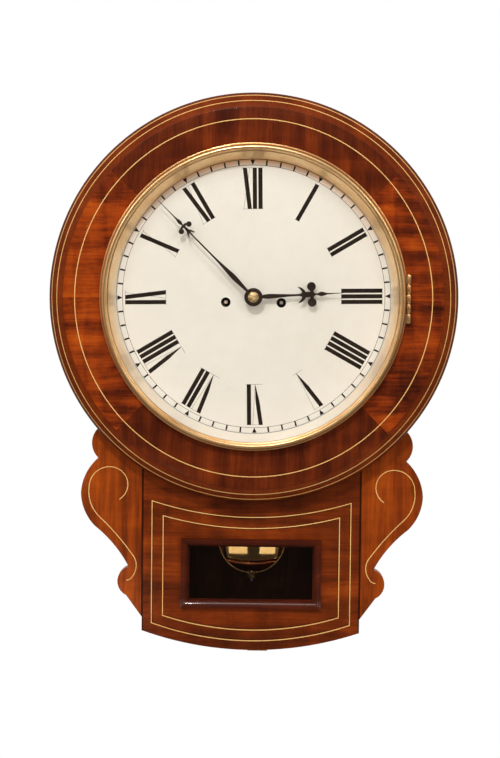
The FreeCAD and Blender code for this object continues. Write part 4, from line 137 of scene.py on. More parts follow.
def piece(name, mesh_data, material, body, nodes=(), sharp=35.0):
    """Links a finished bmesh as one piece that rides on a body and stands for its nodes."""
    mesh = bpy.data.meshes.new(name)
    bmesh.ops.recalc_face_normals(mesh_data, faces=mesh_data.faces)
    mesh_data.to_mesh(mesh)
    mesh_data.free()
    mesh.shade_smooth()
    mesh.set_sharp_from_angle(angle=math.radians(sharp))
    mesh.materials.append(material)
    thing = bpy.data.objects.new(name, mesh)
    bpy.context.scene.collection.objects.link(thing)
    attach(thing, body)
    if nodes:
        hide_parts(*nodes)
    return thing


def vertex(mesh, x, depth, height, centre_z=DIAL_Z):
    return mesh.verts.new((x * MM, depth * MM, (centre_z + height) * MM))


def join_rows(mesh, rows):
    """Closes the bands between neighbouring rows of vertices."""
    for row, after in zip(rows, rows[1:]):
        if row[0] is row[1] and after[0] is after[1]:
            continue
        for n in range(len(row)):
            m = (n + 1) % len(row)
            mesh.faces.new(list(dict.fromkeys((row[n], row[m], after[m], after[n]))))


def add_stack(mesh, rows):
    """Adds a solid from rows of vertices, with a face at each end."""
    mesh.faces.new(rows[0])
    mesh.faces.new(rows[-1][::-1])
    join_rows(mesh, rows)


def add_lathe(mesh, profile, segments, centre_z=DIAL_Z):
    """Adds a ring turned about an axis along the depth from a closed profile of (radius, depth)."""
    rings = []
    for radius, depth in profile:
        if radius < 1e-6:
            rings.append([vertex(mesh, 0.0, depth, 0.0, centre_z)] * segments)
        else:
            rings.append([vertex(mesh, x, depth, z, centre_z) for x, z in round_outline(radius, segments)])
    join_rows(mesh, rings + rings[:1])


def add_prism(mesh, outline, back, front):
    """Adds a flat prism with an outline of (across, height), between two depths."""
    add_stack(mesh, [[vertex(mesh, x, depth, z) for x, z in outline] for depth in (back, front)])


def add_ribbon(mesh, path, width, back, front, closed=False):
    """Adds an even ribbon along a path of (across, height)."""
    last = len(path) - 1
    rows = []
    for n, (x, z) in enumerate(path):
        px, pz = path[n - 1] if closed else path[max(n - 1, 0)]
        qx, qz = path[(n + 1) % (last + 1)] if closed else path[min(n + 1, last)]
        way_in, way_out = Vector((x - px, z - pz)), Vector((qx - x, qz - z))
        first = way_in.normalized() if way_in.length > 1e-9 else way_out.normalized()
        second = way_out.normalized() if way_out.length > 1e-9 else first
        normal = Vector((-(first + second).y, (first + second).x)).normalized()
        lean = max(normal.dot(Vector((-first.y, first.x))), 0.35)
        reach = normal * (width / 2 / lean)
        left, right = (x + reach.x, z + reach.y), (x - reach.x, z - reach.y)
        corners = ((left, back), (left, front), (right, front), (right, back))
        rows.append([vertex(mesh, side[0], depth, side[1]) for side, depth in corners])
    if closed:
        join_rows(mesh, rows + rows[:1])
    else:
        add_stack(mesh, rows)


def carve(thing, cutter):
    """Cuts a shape out of a piece for good."""
    mesh = bpy.data.meshes.new("cutter")
    cutter.to_mesh(mesh)
    cutter.free()
    tool = bpy.data.objects.new("cutter", mesh)
    bpy.context.scene.collection.objects.link(tool)
    cut = thing.modifiers.new("notch", "BOOLEAN")
    cut.operation = "DIFFERENCE"
    cut.solver = "EXACT"
    cut.object = tool
    shaped = bpy.data.meshes.new_from_object(thing.evaluated_get(bpy.context.evaluated_depsgraph_get()))
    thing.modifiers.remove(cut)
    thing.data = shaped
    bpy.data.objects.remove(tool)


def soften(thing, width, segments=3, angle=40.0):
    """Rounds the hard edges of a piece."""
    rounding = thing.modifiers.new("eased_edges", "BEVEL")
    rounding.width = width * MM
    rounding.segments = segments
    rounding.limit_method = "ANGLE"
    rounding.angle_limit = math.radians(angle)
    rounding.harden_normals = True


# Wiring of materials


def fill(socket, value):
    """Gives one input a number, a colour or another node's output."""
    if isinstance(value, bpy.types.NodeSocket):
        socket.id_data.links.new(value, socket)
    else:
        socket.default_value = value


def give(node, **values):
    """Fills a node's inputs by name, with a low line for each space."""
    for name, value in values.items():
        fill(node.inputs[name.replace("_", " ")], value)


def put(kind, *values, **settings):
    """Adds a node beside those that feed it, sets its properties and fills its first inputs in order."""
    feeder = next(value for value in values if isinstance(value, bpy.types.NodeSocket))
    made = feeder.id_data.nodes.new(kind)
    for name, value in settings.items():
        setattr(made, name, value)
    for socket, value in zip(made.inputs, values):
        fill(socket, value)
    return made


def maths(operation, *values):
    """One step of arithmetic."""
    return put("ShaderNodeMath", *values, operation=operation).outputs[0]


def times(a, b):
    return maths("MULTIPLY", a, b)


def times_plus(a, b, c):
    return maths("MULTIPLY_ADD", a, b, c)


def minus(a, b):
    return maths("SUBTRACT", a, b)


def distance(across, up):
    """The length of a flat offset."""
    return maths("SQRT", times_plus(up, up, times(across, across)))


def parts_of(vector):
    return put("ShaderNodeSeparateXYZ", vector).outputs


def joined(x, y, z):
    return put("ShaderNodeCombineXYZ", x, y, z).outputs[0]


def blend(share, a, b):
    """Mixes two colours by a share."""
    made = put("ShaderNodeMix", share, data_type="RGBA")
    fill(made.inputs[6], a)
    fill(made.inputs[7], b)
    return made.outputs[2]


def spread(value, low, high, out_low=0.0, out_high=1.0):
    """Maps one range of values onto another and stops at its ends."""
    return put("ShaderNodeMapRange", value, low, high, out_low, out_high, clamp=True).outputs[0]


def stretched(vector, *scale):
    """A vector times a scale for each axis."""
    return put("ShaderNodeVectorMath", vector, scale, operation="MULTIPLY").outputs[0]


def noise(vector, scale, detail, rough, bend=0.0):
    """A soft noise from 0 to 1."""
    made = put("ShaderNodeTexNoise", vector)
    give(made, Scale=scale, Detail=detail, Roughness=rough, Distortion=bend)
    return made.outputs[0]


def shades(share, stops):
    """A row of colours picked by a share, as (place, colour)."""
    made = put("ShaderNodeValToRGB", share)
    row = made.color_ramp.elements
    for number, (where, colour) in enumerate(stops):
        stop = row[number] if number < 2 else row.new(where)
        stop.position = where
        stop.color = colour
    return made.outputs[0]


def effect(name, inputs, outputs, wire):
    """A node group, built once: wire(inputs) gives its outputs in order."""
    if name in bpy.data.node_groups:
        return bpy.data.node_groups[name]
    tree = bpy.data.node_groups.new(name, "ShaderNodeTree")
    tree.interface.new_socket("Vector", in_out="INPUT", socket_type="NodeSocketVector")
    for label, default in inputs.items():
        socket = tree.interface.new_socket(label, in_out="INPUT", socket_type="NodeSocketFloat")
        socket.default_value = default
    for label in outputs:
        kind = "NodeSocketVector" if label == "Grain" else "NodeSocketFloat"
        tree.interface.new_socket(label, in_out="OUTPUT", socket_type=kind)
    start = tree.nodes.new("NodeGroupInput")
    end = tree.nodes.new("NodeGroupOutput")
    for number, result in enumerate(wire(start.outputs)):
        tree.links.new(result, end.inputs[number])
    return tree


def use(group, vector, **values):
    """Places an effect in a material and fills its inputs."""
    made = vector.id_data.nodes.new("ShaderNodeGroup")
    made.node_tree = group
    give(made, Vector=vector, **values)
    return made.outputs


def grain_effect():
    """Wood grain: broad figure, fine streaks and open pores. The first axis runs along the grain."""

    def wire(given):
        seed = given["Seed"]
        base = put("ShaderNodeVectorMath", given["Vector"], joined(seed, seed, seed)).outputs[0]
        broad = noise(stretched(base, 5.0, 26.0, 26.0), 1.0, 3.0, 0.55, 1.6)
        ribbon = noise(stretched(base, 46.0, 12.0, 12.0), 1.0, 2.0, 0.5, 0.8)
        streak = noise(stretched(base, 16.0, 420.0, 420.0), 1.0, 3.0, 0.6, 0.15)
        pore = noise(stretched(base, 90.0, 2600.0, 2600.0), 1.0, 1.0, 0.5)
        rippled = times(spread(ribbon, 0.34, 0.66), given["Figure"])
        tone = times_plus(rippled, 0.3, times(spread(broad, 0.3, 0.7), 0.62))
        tone = times_plus(spread(streak, 0.3, 0.7), 0.24, tone)
        pores = spread(pore, 0.6, 0.72)
        return tone, pores, times_plus(streak, 0.35, times(pores, -0.6))

    return effect("grain", {"Figure": 0.5, "Seed": 0.0}, ("Tone", "Pores", "Height"), wire)


def patina_effect():
    """Soft blotches and fine specks that handling and age leave on a surface."""

    def wire(given):
        vector, size = given["Vector"], given["Size"]
        blotch = noise(vector, size, 4.0, 0.6, 0.4)
        fine = noise(vector, times(size, 16.0), 3.0, 0.65)
        mask = times_plus(fine, 0.35, times(blotch, 0.65))
        return spread(mask, 0.35, 0.65), spread(fine, 0.66, 0.78), fine

    return effect("patina", {"Size": 12.0}, ("Blotches", "Specks", "Height"), wire)


def turning_effect():
    """Fine rings that a lathe leaves round the clock's middle at a height, and the distance from it."""

    def wire(given):
        x, y, z = parts_of(given["Vector"])
        reach = distance(x, minus(z, given["Centre Z"]))
        place = stretched(joined(reach, y, 0.0), 2400.0, 2400.0, 1.0)
        return noise(place, 1.0, 2.0, 0.6), reach

    return effect("turning", {"Centre Z": DIAL_Z * MM}, ("Lines", "Reach"), wire)


def crossband_effect():
    """Four veneer segments about the dial: upright grain above and below, level grain at the sides."""

    def wire(given):
        x, y, z = parts_of(given["Vector"])
        up = minus(z, SURROUND_Z * MM)
        wide, high = maths("ABSOLUTE", x), maths("ABSOLUTE", up)
        top = maths("GREATER_THAN", up, 0.0)
        slope = minus(wide, times(high, times_plus(top, 0.12, 1.02)))
        side = maths("GREATER_THAN", slope, 0.0)
        right = maths("GREATER_THAN", x, 0.0)
        pick = put("ShaderNodeMix", side, data_type="VECTOR")
        fill(pick.inputs[4], joined(up, x, y))
        fill(pick.inputs[5], joined(x, up, y))
        joint = spread(maths("ABSOLUTE", slope), 0.0, 0.0005, 1.0, 0.0)
        return pick.outputs[1], side, right, top, joint, distance(wide, up)

    return effect("crossband", {}, ("Grain", "Side", "Right", "Top", "Joint", "Reach"), wire)


def new_material(name, size=None):
    """A material with its shader, its object coordinates and, where a size is given, its patina."""
    material = bpy.data.materials.new(name)
    material.use_nodes = True
    tree = material.node_tree
    tree.nodes.clear()
    shader = tree.nodes.new("ShaderNodeBsdfPrincipled")
    output = tree.nodes.new("ShaderNodeOutputMaterial")
    tree.links.new(shader.outputs[0], output.inputs[0])
    place = tree.nodes.new("ShaderNodeTexCoord").outputs["Object"]
    age = use(patina_effect(), place, Size=size) if size else None
    return material, shader, place, age


def reopened(material):
    """The shader and object coordinates of a finished material."""
    nodes = material.node_tree.nodes
    shader = next(n for n in nodes if n.type == "BSDF_PRINCIPLED")
    return shader, nodes.new("ShaderNodeTexCoord").outputs["Object"]


def bump(shader, height, strength, depth=0.0001):
    """Feeds a height into the shader's normal."""
    made = shader.id_data.nodes.new("ShaderNodeBump")
    give(made, Height=height, Strength=strength, Distance=depth)
    give(shader, Normal=made.outputs[0])


def polish(shader, patina, gloss, coat, coat_rough):
    """French polish: a clear coat over wood whose own gloss varies a little."""
    rough = spread(patina, 0.0, 1.0, gloss, gloss + 0.14)
    give(shader, Roughness=rough, Coat_Weight=coat, Coat_Roughness=coat_rough, Specular_IOR_Level=0.08)


def about_dial(place):
    """The height above the dial's centre and the distance from its axis."""
    x, _, z = parts_of(place)
    up = minus(z, DIAL_Z * MM)
    return up, distance(x, up)


def about_arbors(place):
    """The distance from the nearer winding arbor, and the depth."""
    x, y, z = parts_of(place)
    across = minus(maths("ABSOLUTE", x), ARBOR_X * MM)
    return distance(across, minus(z, (DIAL_Z - ARBOR_DROP) * MM)), y


def tones(*rows):
    """Colour stops from rows of (place, red, green, blue)."""
    return [(place, srgb(*colour)) for place, *colour in rows]


MAHOGANY = tones(
    (0.0, 72, 24, 4), (0.3, 114, 43, 6), (0.55, 148, 60, 9), (0.78, 172, 75, 12), (1.0, 196, 93, 18)
)
TRUNK = tones((0.0, 52, 17, 3), (0.3, 84, 29, 4), (0.55, 113, 42, 6), (0.78, 138, 55, 8), (1.0, 164, 72, 12))
UPRIGHT_BAND = tones((0.0, 52, 15, 4), (0.35, 78, 26, 6), (0.65, 102, 38, 8), (1.0, 134, 54, 12))
LEVEL_BAND = tones(
    (0.0, 54, 16, 4), (0.24, 92, 31, 6), (0.44, 132, 49, 8), (0.66, 164, 66, 11), (0.9, 192, 86, 16)
)
RIM_BAND = tones((0.0, 84, 29, 7), (0.5, 116, 45, 11), (1.0, 144, 60, 15))
DARK_MAHOGANY = tones((0.0, 44, 13, 4), (0.5, 74, 24, 7), (1.0, 104, 38, 11))
# Dark stained carcass wood, darkened further as painted shade for the closed trunk's inside.
SHADE_DARKENED_MAHOGANY = tones((0.0, 28, 13, 6), (0.5, 46, 24, 12), (1.0, 68, 39, 21))
BOXWOOD = tones((0.0, 226, 168, 92), (0.5, 244, 194, 118), (1.0, 252, 212, 146))
MOVEMENT_BRASS = (srgb(190, 146, 80), srgb(224, 184, 112))
# A painted shadow line runs along a seam between two distances from the middle and fades over a blur
SEAM_SHADOW = (119.4, 121.0)
SEAM_SHADOW_BLUR = 0.6


def wood(name, stops, axis, figure, seed, gloss=0.36, coat=0.2, coat_rough=0.12, pores=0.5, seam_shadow=None):
    """Polished or oiled wood with its grain along x or z, with a painted shadow line where a seam is given by
    its two distances.
    """
    material, shader, place, age = new_material(name, 9.0)
    grain = place
    if axis == "z":
        x, y, z = parts_of(place)
        grain = joined(z, x, y)
    marks = use(grain_effect(), grain, Figure=figure, Seed=seed)
    colour = shades(marks["Tone"], stops)
    colour = blend(times(marks["Pores"], pores), colour, srgb(30, 9, 4))
    colour = blend(times(age["Blotches"], 0.16), colour, stops[-1][1])
    if seam_shadow:
        # Painted shadow: a dark line along the seam where the ears meet the trunk.
        off = maths("ABSOLUTE", parts_of(place)[0])
        inside, outside = seam_shadow
        dark = spread(off, (inside - SEAM_SHADOW_BLUR) * MM, inside * MM)
        dark = times(dark, spread(off, (outside + SEAM_SHADOW_BLUR) * MM, outside * MM))
        colour = blend(times(dark, 0.8), colour, srgb(20, 6, 2))
    give(shader, Base_Color=colour)
    polish(shader, age["Blotches"], gloss, coat, coat_rough)
    bump(shader, marks["Height"], 0.25, 0.0002)
    return material


def window_moulding():
    """Dark mahogany, its polish best kept on the bottom length."""
    material = wood("moulding_mahogany", DARK_MAHOGANY, "x", 0.3, 4.4, 0.5, 0.2, 0.06)
    shader, place = reopened(material)
    give(shader, Coat_Weight=spread(parts_of(place)[2], -0.505, -0.508, 0.15, 1.0))
    return material


def crossbanded_veneer():
    """The surround's face and moulding: four segments of figured veneer, with painted shade on the sides."""
    material, shader, place, age = new_material("crossbanded_mahogany", 8.0)
    band = use(crossband_effect(), place)
    seed = times_plus(band["Right"], 3.1, times(band["Top"], 5.3))
    marks = use(grain_effect(), band["Grain"], Figure=0.75, Seed=seed)
    upright = shades(marks["Tone"], UPRIGHT_BAND)
    drifting = times_plus(age["Blotches"], -0.26, marks["Tone"])
    level = shades(times_plus(band["Right"], -0.08, drifting), LEVEL_BAND)
    colour = blend(band["Side"], upright, level)
    on_rim = spread(band["Reach"], 0.2058, 0.2064)
    colour = blend(on_rim, colour, shades(marks["Tone"], RIM_BAND))
    # Painted shade: the surround's sides, which face away from the lamps, are darkened.
    painted_side_shade = spread(parts_of(place)[1], -0.131, -0.126)
    colour = blend(painted_side_shade, colour, srgb(44, 15, 7))
    colour = blend(times(marks["Pores"], 0.45), colour, srgb(28, 8, 4))
    colour = blend(times(band["Joint"], 0.4), colour, srgb(40, 12, 6))
    give(shader, Base_Color=colour)
    polish(shader, age["Blotches"], 0.34, times_plus(on_rim, -0.12, 0.16), 0.12)
    bump(shader, marks["Height"], 0.2, 0.0002)
    return material


def metal(name, dark, light, rough, size, turned=0, centre_z=DIAL_Z, metallic=1.0, strength=0.12, sheen=0.5):
    """Lacquered, polished or forged metal with soft stains, specks and, where turned, lathe lines."""
    material, shader, place, age = new_material(name, size)
    colour = blend(age["Blotches"], srgb(*dark), srgb(*light))
    colour = blend(times(age["Specks"], 0.35), colour, srgb(*dark))
    height = age["Height"]
    if turned:
        rings = use(turning_effect(), place, Centre_Z=centre_z * MM)
        height = times_plus(rings["Lines"], turned, times(height, 0.3))
    rough = spread(age["Blotches"], 0.0, 1.0, rough + 0.08, rough)
    give(shader, Base_Color=colour, Metallic=metallic, Roughness=rough, Specular_IOR_Level=sheen)
    bump(shader, height, strength)
    return material


def fusee_metal(name):
    """A brass fusee on its dark steel arbor, dark partly as painted shade in the winding hole, whose squared
    end is worn bright by the key.
    """
    material, shader, place, age = new_material(name, 24.0)
    reach, depth = about_arbors(place)
    on_arbor = spread(reach, 0.0062, 0.0058)
    on_tip = times(spread(depth, -0.1262, -0.1266), on_arbor)
    worn = times(on_tip, spread(reach, 0.0026, 0.0012))
    brass = blend(age["Blotches"], *MOVEMENT_BRASS)
    # The arbor's near-black is partly the steel's own colour and partly painted shade inside the winding
    # hole.
    steel = blend(worn, srgb(26, 19, 14), srgb(214, 192, 176))
    give(
        shader,
        Base_Color=blend(on_arbor, brass, steel),
        Metallic=minus(1.0, times(on_arbor, 0.5)),
        Roughness=spread(age["Blotches"], 0.0, 1.0, 0.4, 0.3),
    )
    return material


def bob_metal():
    """The bob's bright brass, dull along its turned edge."""
    dark, light = (222, 172, 100), (246, 206, 138)
    material = metal("bob_brass", dark, light, 0.03, 34.0, turned=0.1, centre_z=BOB_Z, strength=0.05)
    shader, place = reopened(material)
    reach = use(turning_effect(), place, Centre_Z=BOB_Z * MM)["Reach"]
    gloss = shader.inputs["Roughness"].links[0].from_socket
    give(shader, Roughness=times_plus(spread(reach, 0.0366, 0.0374), 0.5, gloss))
    return material


def plate_metal():
    """Movement brass, with painted shade, nearly black, round the two winding arbors where the plate shows
    through the dial's holes.
    """
    material, shader, place, age = new_material("front_plate_brass", 24.0)
    # Painted shade: the plate turns nearly black round the arbors, seen deep in the winding holes.
    painted_hole_shade = spread(about_arbors(place)[0], 0.013, 0.009)
    brass = blend(age["Blotches"], *MOVEMENT_BRASS)
    colour = blend(painted_hole_shade, brass, srgb(14, 10, 7))
    give(shader, Base_Color=colour, Metallic=minus(1.0, painted_hole_shade), Roughness=times_plus(painted_hole_shade, 0.4, 0.26))
    return material


def sight_metal():
    """Lacquered brass of the sight ring, paler below and towards the dial as painted light and painted
    reflection of the dial, brown along its outer edge as painted shade.
    """
    material, shader, place, age = new_material("sight_brass", 30.0)
    up, reach = about_dial(place)
    # Painted light and painted reflection: paler towards the dial and below, where the lamp falls and the
    # dial is mirrored.
    inner = times(spread(reach, 0.157, 0.1505), spread(up, 0.11, -0.03, 0.0, 0.7))
    painted_light_share = maths("MAXIMUM", inner, spread(up, -0.02, -0.13))
    colour = blend(age["Blotches"], srgb(232, 186, 128), srgb(248, 216, 168))
    colour = blend(painted_light_share, colour, srgb(244, 235, 220))
    # Painted shade: brown along the outer edge, in the groove beside the bead.
    painted_groove_shade = times(spread(reach, 0.1568, 0.1574), 0.6)
    give(
        shader,
        Base_Color=blend(painted_groove_shade, colour, srgb(96, 58, 22)),
        Metallic=times_plus(painted_light_share, -0.5, 0.65),
        Roughness=spread(age["Blotches"], 0.0, 1.0, 0.36, 0.28),
    )
    bump(shader, age["Height"], 0.05)
    return material


def dial_paint():
    """Cream japanned paint with a faint crackle, and a painted shade along its top edge under the bezel."""
    material, shader, place, age = new_material("dial_cream", 5.0)
    colour = blend(age["Blotches"], srgb(241, 235, 222), srgb(248, 244, 234))
    up, reach = about_dial(place)
    # Painted shade: a warm brown band near the top of the track, where the bezel shades the dial.
    painted_top_shade = times(spread(up, 0.04, 0.14), spread(reach, 0.1405, 0.149))
    colour = blend(times(painted_top_shade, 0.95), colour, srgb(222, 158, 90))
    cells = put("ShaderNodeTexVoronoi", place, feature="DISTANCE_TO_EDGE")
    give(cells, Scale=70.0)
    crackle = spread(cells.outputs["Distance"], 0.0, 0.02, 0.02, 0.0)
    colour = blend(crackle, colour, srgb(196, 172, 138))
    rough = spread(age["Blotches"], 0.0, 1.0, 0.42, 0.34)
    give(shader, Base_Color=colour, Roughness=rough, Coat_Weight=0.25, Coat_Roughness=0.15)
    bump(shader, age["Height"], 0.02)
    return material


def printing_ink():
    """The dark brown paint of the numerals and the track, a little uneven."""
    material, shader, _, age = new_material("numeral_paint", 60.0)
    colour = blend(age["Blotches"], srgb(26, 18, 11), srgb(42, 31, 21))
    rough = spread(age["Specks"], 0.0, 1.0, 0.6, 0.75)
    give(shader, Base_Color=colour, Roughness=rough, Specular_IOR_Level=0.1)
    return material


def clear_glass(name):
    """A clear pane that lets lamp light through to what lies behind it."""
    material, shader, _, age = new_material(name, 20.0)
    give(shader, Base_Color=(1.0, 1.0, 1.0, 1.0), Metallic=0.0, Transmission_Weight=1.0)
    give(shader, IOR=1.45, Specular_IOR_Level=0.12, Roughness=times(age["Specks"], 0.02))
    nodes = material.node_tree.nodes
    rays = nodes.new("ShaderNodeLightPath").outputs
    lamp_rays = maths("MAXIMUM", rays["Is Shadow Ray"], rays["Is Diffuse Ray"])
    clear = nodes.new("ShaderNodeBsdfTransparent").outputs[0]
    mixed = put("ShaderNodeMixShader", lamp_rays, shader.outputs[0], clear)
    output = next(n for n in nodes if n.type == "OUTPUT_MATERIAL")
    fill(output.inputs[0], mixed.outputs[0])
    return material


def gut_line():
    """Twisted gut, tan with a spiral lay."""
    material, shader, place, _ = new_material("twisted_gut")
    wave = put("ShaderNodeTexWave", place, bands_direction="DIAGONAL")
    give(wave, Scale=900.0, Distortion=0.5)
    lay = wave.outputs["Fac"]
    colour = blend(lay, srgb(150, 112, 62), srgb(206, 172, 118))
    give(shader, Base_Color=colour, Roughness=spread(lay, 0.0, 1.0, 0.6, 0.45))
    bump(shader, lay, 0.4, 0.0002)
    return material


# Metals as (name, dark colour, light colour, roughness, size of the stains)
METALS = {
    "bezel_brass": ("bezel_brass", (232, 180, 118), (250, 214, 162), 0.27, 26.0),
    # The rating nut's dark colours are painted shade, as it hangs in the dark trunk.
    "nut_brass": ("rating_nut_shaded_brass", (74, 54, 32), (120, 92, 58), 0.45, 60.0),
    "case_brass": ("fitting_brass", (198, 146, 92), (248, 208, 152), 0.3, 160.0),
    "plate_brass": ("movement_brass", (190, 146, 80), (224, 184, 112), 0.24, 24.0),
    "collet_brass": ("collet_brass", (92, 56, 18), (250, 218, 162), 0.5, 420.0),
    "bell_metal": ("bell_metal", (176, 138, 84), (214, 180, 124), 0.22, 24.0),
    "steel": ("polished_steel", (126, 126, 130), (176, 176, 180), 0.22, 40.0),
    "blued": ("blued_dark", (28, 19, 13), (48, 33, 22), 0.42, 90.0),
    "iron": ("forged_iron", (46, 44, 43), (86, 82, 78), 0.5, 60.0),
}
METAL_EXTRAS = {
    "bezel_brass": {"turned": 0.2, "strength": 0.05},
    "collet_brass": {"strength": 0.9},
    "blued": {"metallic": 0.15, "sheen": 0.2},
    "iron": {"metallic": 0.85, "strength": 0.5},
}
OTHER_FINISHES = {
    "crossbanded": crossbanded_veneer,
    "trunk_veneer": lambda: wood("trunk_mahogany", TRUNK, "x", 0.6, 2.2, seam_shadow=SEAM_SHADOW),
    "ear_wood": lambda: wood("ear_mahogany", MAHOGANY, "z", 0.5, 7.4, seam_shadow=SEAM_SHADOW),
    "side_wood": lambda: wood("side_mahogany", MAHOGANY, "z", 0.4, 11.0, 0.36, 0.4, 0.15),
    "moulding_wood": window_moulding,
    "bare_wood": lambda: wood("carcass_mahogany", SHADE_DARKENED_MAHOGANY, "z", 0.3, 15.0, 0.6, 0.0, 0.4, 0.35),
    "boxwood": lambda: wood("boxwood_line", BOXWOOD, "x", 0.2, 1.0, 0.35, 0.5, 0.1, 0.1),
    "sight_brass": sight_metal,
    "bob_brass": bob_metal,
    "going_cone": lambda: fusee_metal("going_fusee_metal"),
    "strike_cone": lambda: fusee_metal("strike_fusee_metal"),
    "front_plate": plate_metal,
    "dial_cream": dial_paint,
    "ink": printing_ink,
    "bezel_pane": lambda: clear_glass("bezel_pane"),
    "window_pane": lambda: clear_glass("window_pane"),
    "gut": gut_line,
}
finishes = {}


def finish(name):
    """A finish by name, made the first time it is asked for."""
    if name not in finishes:
        if name in METALS:
            finishes[name] = metal(*METALS[name], **METAL_EXTRAS.get(name, {}))
        else:
            finishes[name] = OTHER_FINISHES[name]()
    return finishes[name]


def dress(finish_name, *nodes):
    """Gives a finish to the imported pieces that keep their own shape."""
    for name in nodes:
        thing = frame["nodes"][name]
        if not thing.material_slots:
            thing.data.materials.append(finish(finish_name))
        for slot in thing.material_slots:
            slot.material = finish(finish_name)


# Sizes and colours a user may change


def length(name, description, size):
    """A length a user may change, with its usual size in millimetres."""
    return FloatProperty(name=name, description=description, default=size * MM, unit="LENGTH")


class CaseSettings(bpy.types.PropertyGroup):
    """Sizes of the inlaid lines and the ears' edges."""

    line_width: length("Line width", "Width of the boxwood lines", 0.95)
    ear_rounding: length("Ear edge", "Rounding of the ears' front edges", 0.9)


class DialSettings(bpy.types.PropertyGroup):
    """Sizes of what is printed on the dial."""

    numeral_inner: length("Numeral foot", "Distance of the numerals' feet from the dial's centre", 95.2)
    numeral_outer: length("Numeral head", "Distance of the numerals' heads from the dial's centre", 139.7)
    track_inner: length("Track inside", "Radius of the minute track's inner circle", 142.6)
    track_outer: length("Track outside", "Radius of the minute track's outer circle", 148.9)


class StageSettings(bpy.types.PropertyGroup):
    """Colours and strengths of the stage."""

    floor_colour: FloatVectorProperty(
        name="Floor",
        description="Colour of the floor",
        default=(0.86, 0.85, 0.83),
        subtype="COLOR",
        size=3,
    )
    room_light: FloatProperty(
        name="Room light",
        description="Strength of the light that comes from all round",
        default=0.25,
    )


def millimetres(value):
    return value / MM


# Surround

MOULDING_SWEEP = 34.0
MOULDING_ENDS = ((222.5, -127.6), (206.6, -142.6))
SURROUND_PROFILE = (
    [(143.0, SURROUND_BACK), (220.3, SURROUND_BACK)]
    + arc((220.6, SURROUND_BACK), (222.5, -113.9), 1.9, 5, 1)
    + arc(*MOULDING_ENDS, MOULDING_SWEEP, 22)
    + [(206.6, -143.1)]
    + arc((206.6, -143.2), (205.8, FACE), 0.8, 5)
    + [(190.0, FACE), (175.0, FACE), (160.4, FACE), (160.1, -143.9), (160.0, -143.6)]
    + [(160.0, -128.4), (143.0, -128.4)]
)


class CLOCK_OT_surround(bpy.types.Operator):
    """Turned surround with crossbanded veneer on its face and moulding"""

    bl_idname = "clock.surround"
    bl_label = "Surround"

    def execute(self, context):
        mesh = bmesh.new()
        add_lathe(mesh, SURROUND_PROFILE, 320, SURROUND_Z)
        piece("surround", mesh, finish("crossbanded"), "case", ["dial_surround"], 30)
        return {"FINISHED"}


# Boxwood lines

LINE_PROUD, LINE_DEPTH = 0.04, 1.2
FACE_LINE, MOULDING_LINES = 193.4, (213.3, 219.3)
EAR_WIDTH, EAR_HEIGHT, EAR_TOP, HALF_BOX = 68.4, 208.5, -148.5, 120.5
EAR_FRONT, EAR_THICK = -110.4, 16.0
EAR_OUTLINE = [
    (0.746, 0.0), (0.826, 0.072), (0.721, 0.152), (0.934, 0.246), (1.0, 0.338), (0.94, 0.432),
    (0.768, 0.516), (0.462, 0.613), (0.222, 0.73), (0.402, 0.808), (0.256, 0.885), (0.13, 0.942),
    (0.0, 1.0),
]
EAR_LINE = [
    (0.374, 0.371), (0.241, 0.281), (0.466, 0.2), (0.753, 0.225), (0.867, 0.307), (0.841, 0.391),
    (0.68, 0.47), (0.431, 0.554), (0.175, 0.659), (0.095, 0.727), (0.154, 0.781), (0.197, 0.797),
    (0.256, 0.803),
]
# Half width, height and dip of the top, height and dip of the foot
FRAMES = [
    (109.8, -226.8, 17.2, -363.0, 18.7),
    (97.4, -243.2, 13.0, -354.6, 15.1),
]


def ear_curve(shares, sign, steps=10):
    """The points of an ear's curve about the dial, one arc to each three shares."""
    corners = [(sign * (HALF_BOX + u * EAR_WIDTH), EAR_TOP - v * EAR_HEIGHT) for u, v in shares]
    points = []
    for n in range(0, len(corners) - 2, 2):
        points += through(*corners[n : n + 3], steps)[:-1]
    return points + [corners[-1]]


def sag(half, level, dip, steps=28):
    """A curve that sags below a level, from left to right."""
    radius = (half * half + dip * dip) / (2 * dip)
    return arc((-half, level), (half, level), radius, steps, 1)


def moulding_strip(radius, half):
    """The section of one line let into the rounded moulding, a hair proud of it."""
    centre = arc_centre(*MOULDING_ENDS, MOULDING_SWEEP, -1)
    places = [radius - half + 2 * half * n / 6 - centre.x for n in range(7)]
    turns = [math.asin(place / MOULDING_SWEEP) for place in places]
    rows = []
    for reach in (MOULDING_SWEEP + LINE_PROUD, MOULDING_SWEEP - LINE_DEPTH):
        rows.append([(centre.x + reach * math.sin(t), centre.y - reach * math.cos(t)) for t in turns])
    return rows[0] + rows[1][::-1]


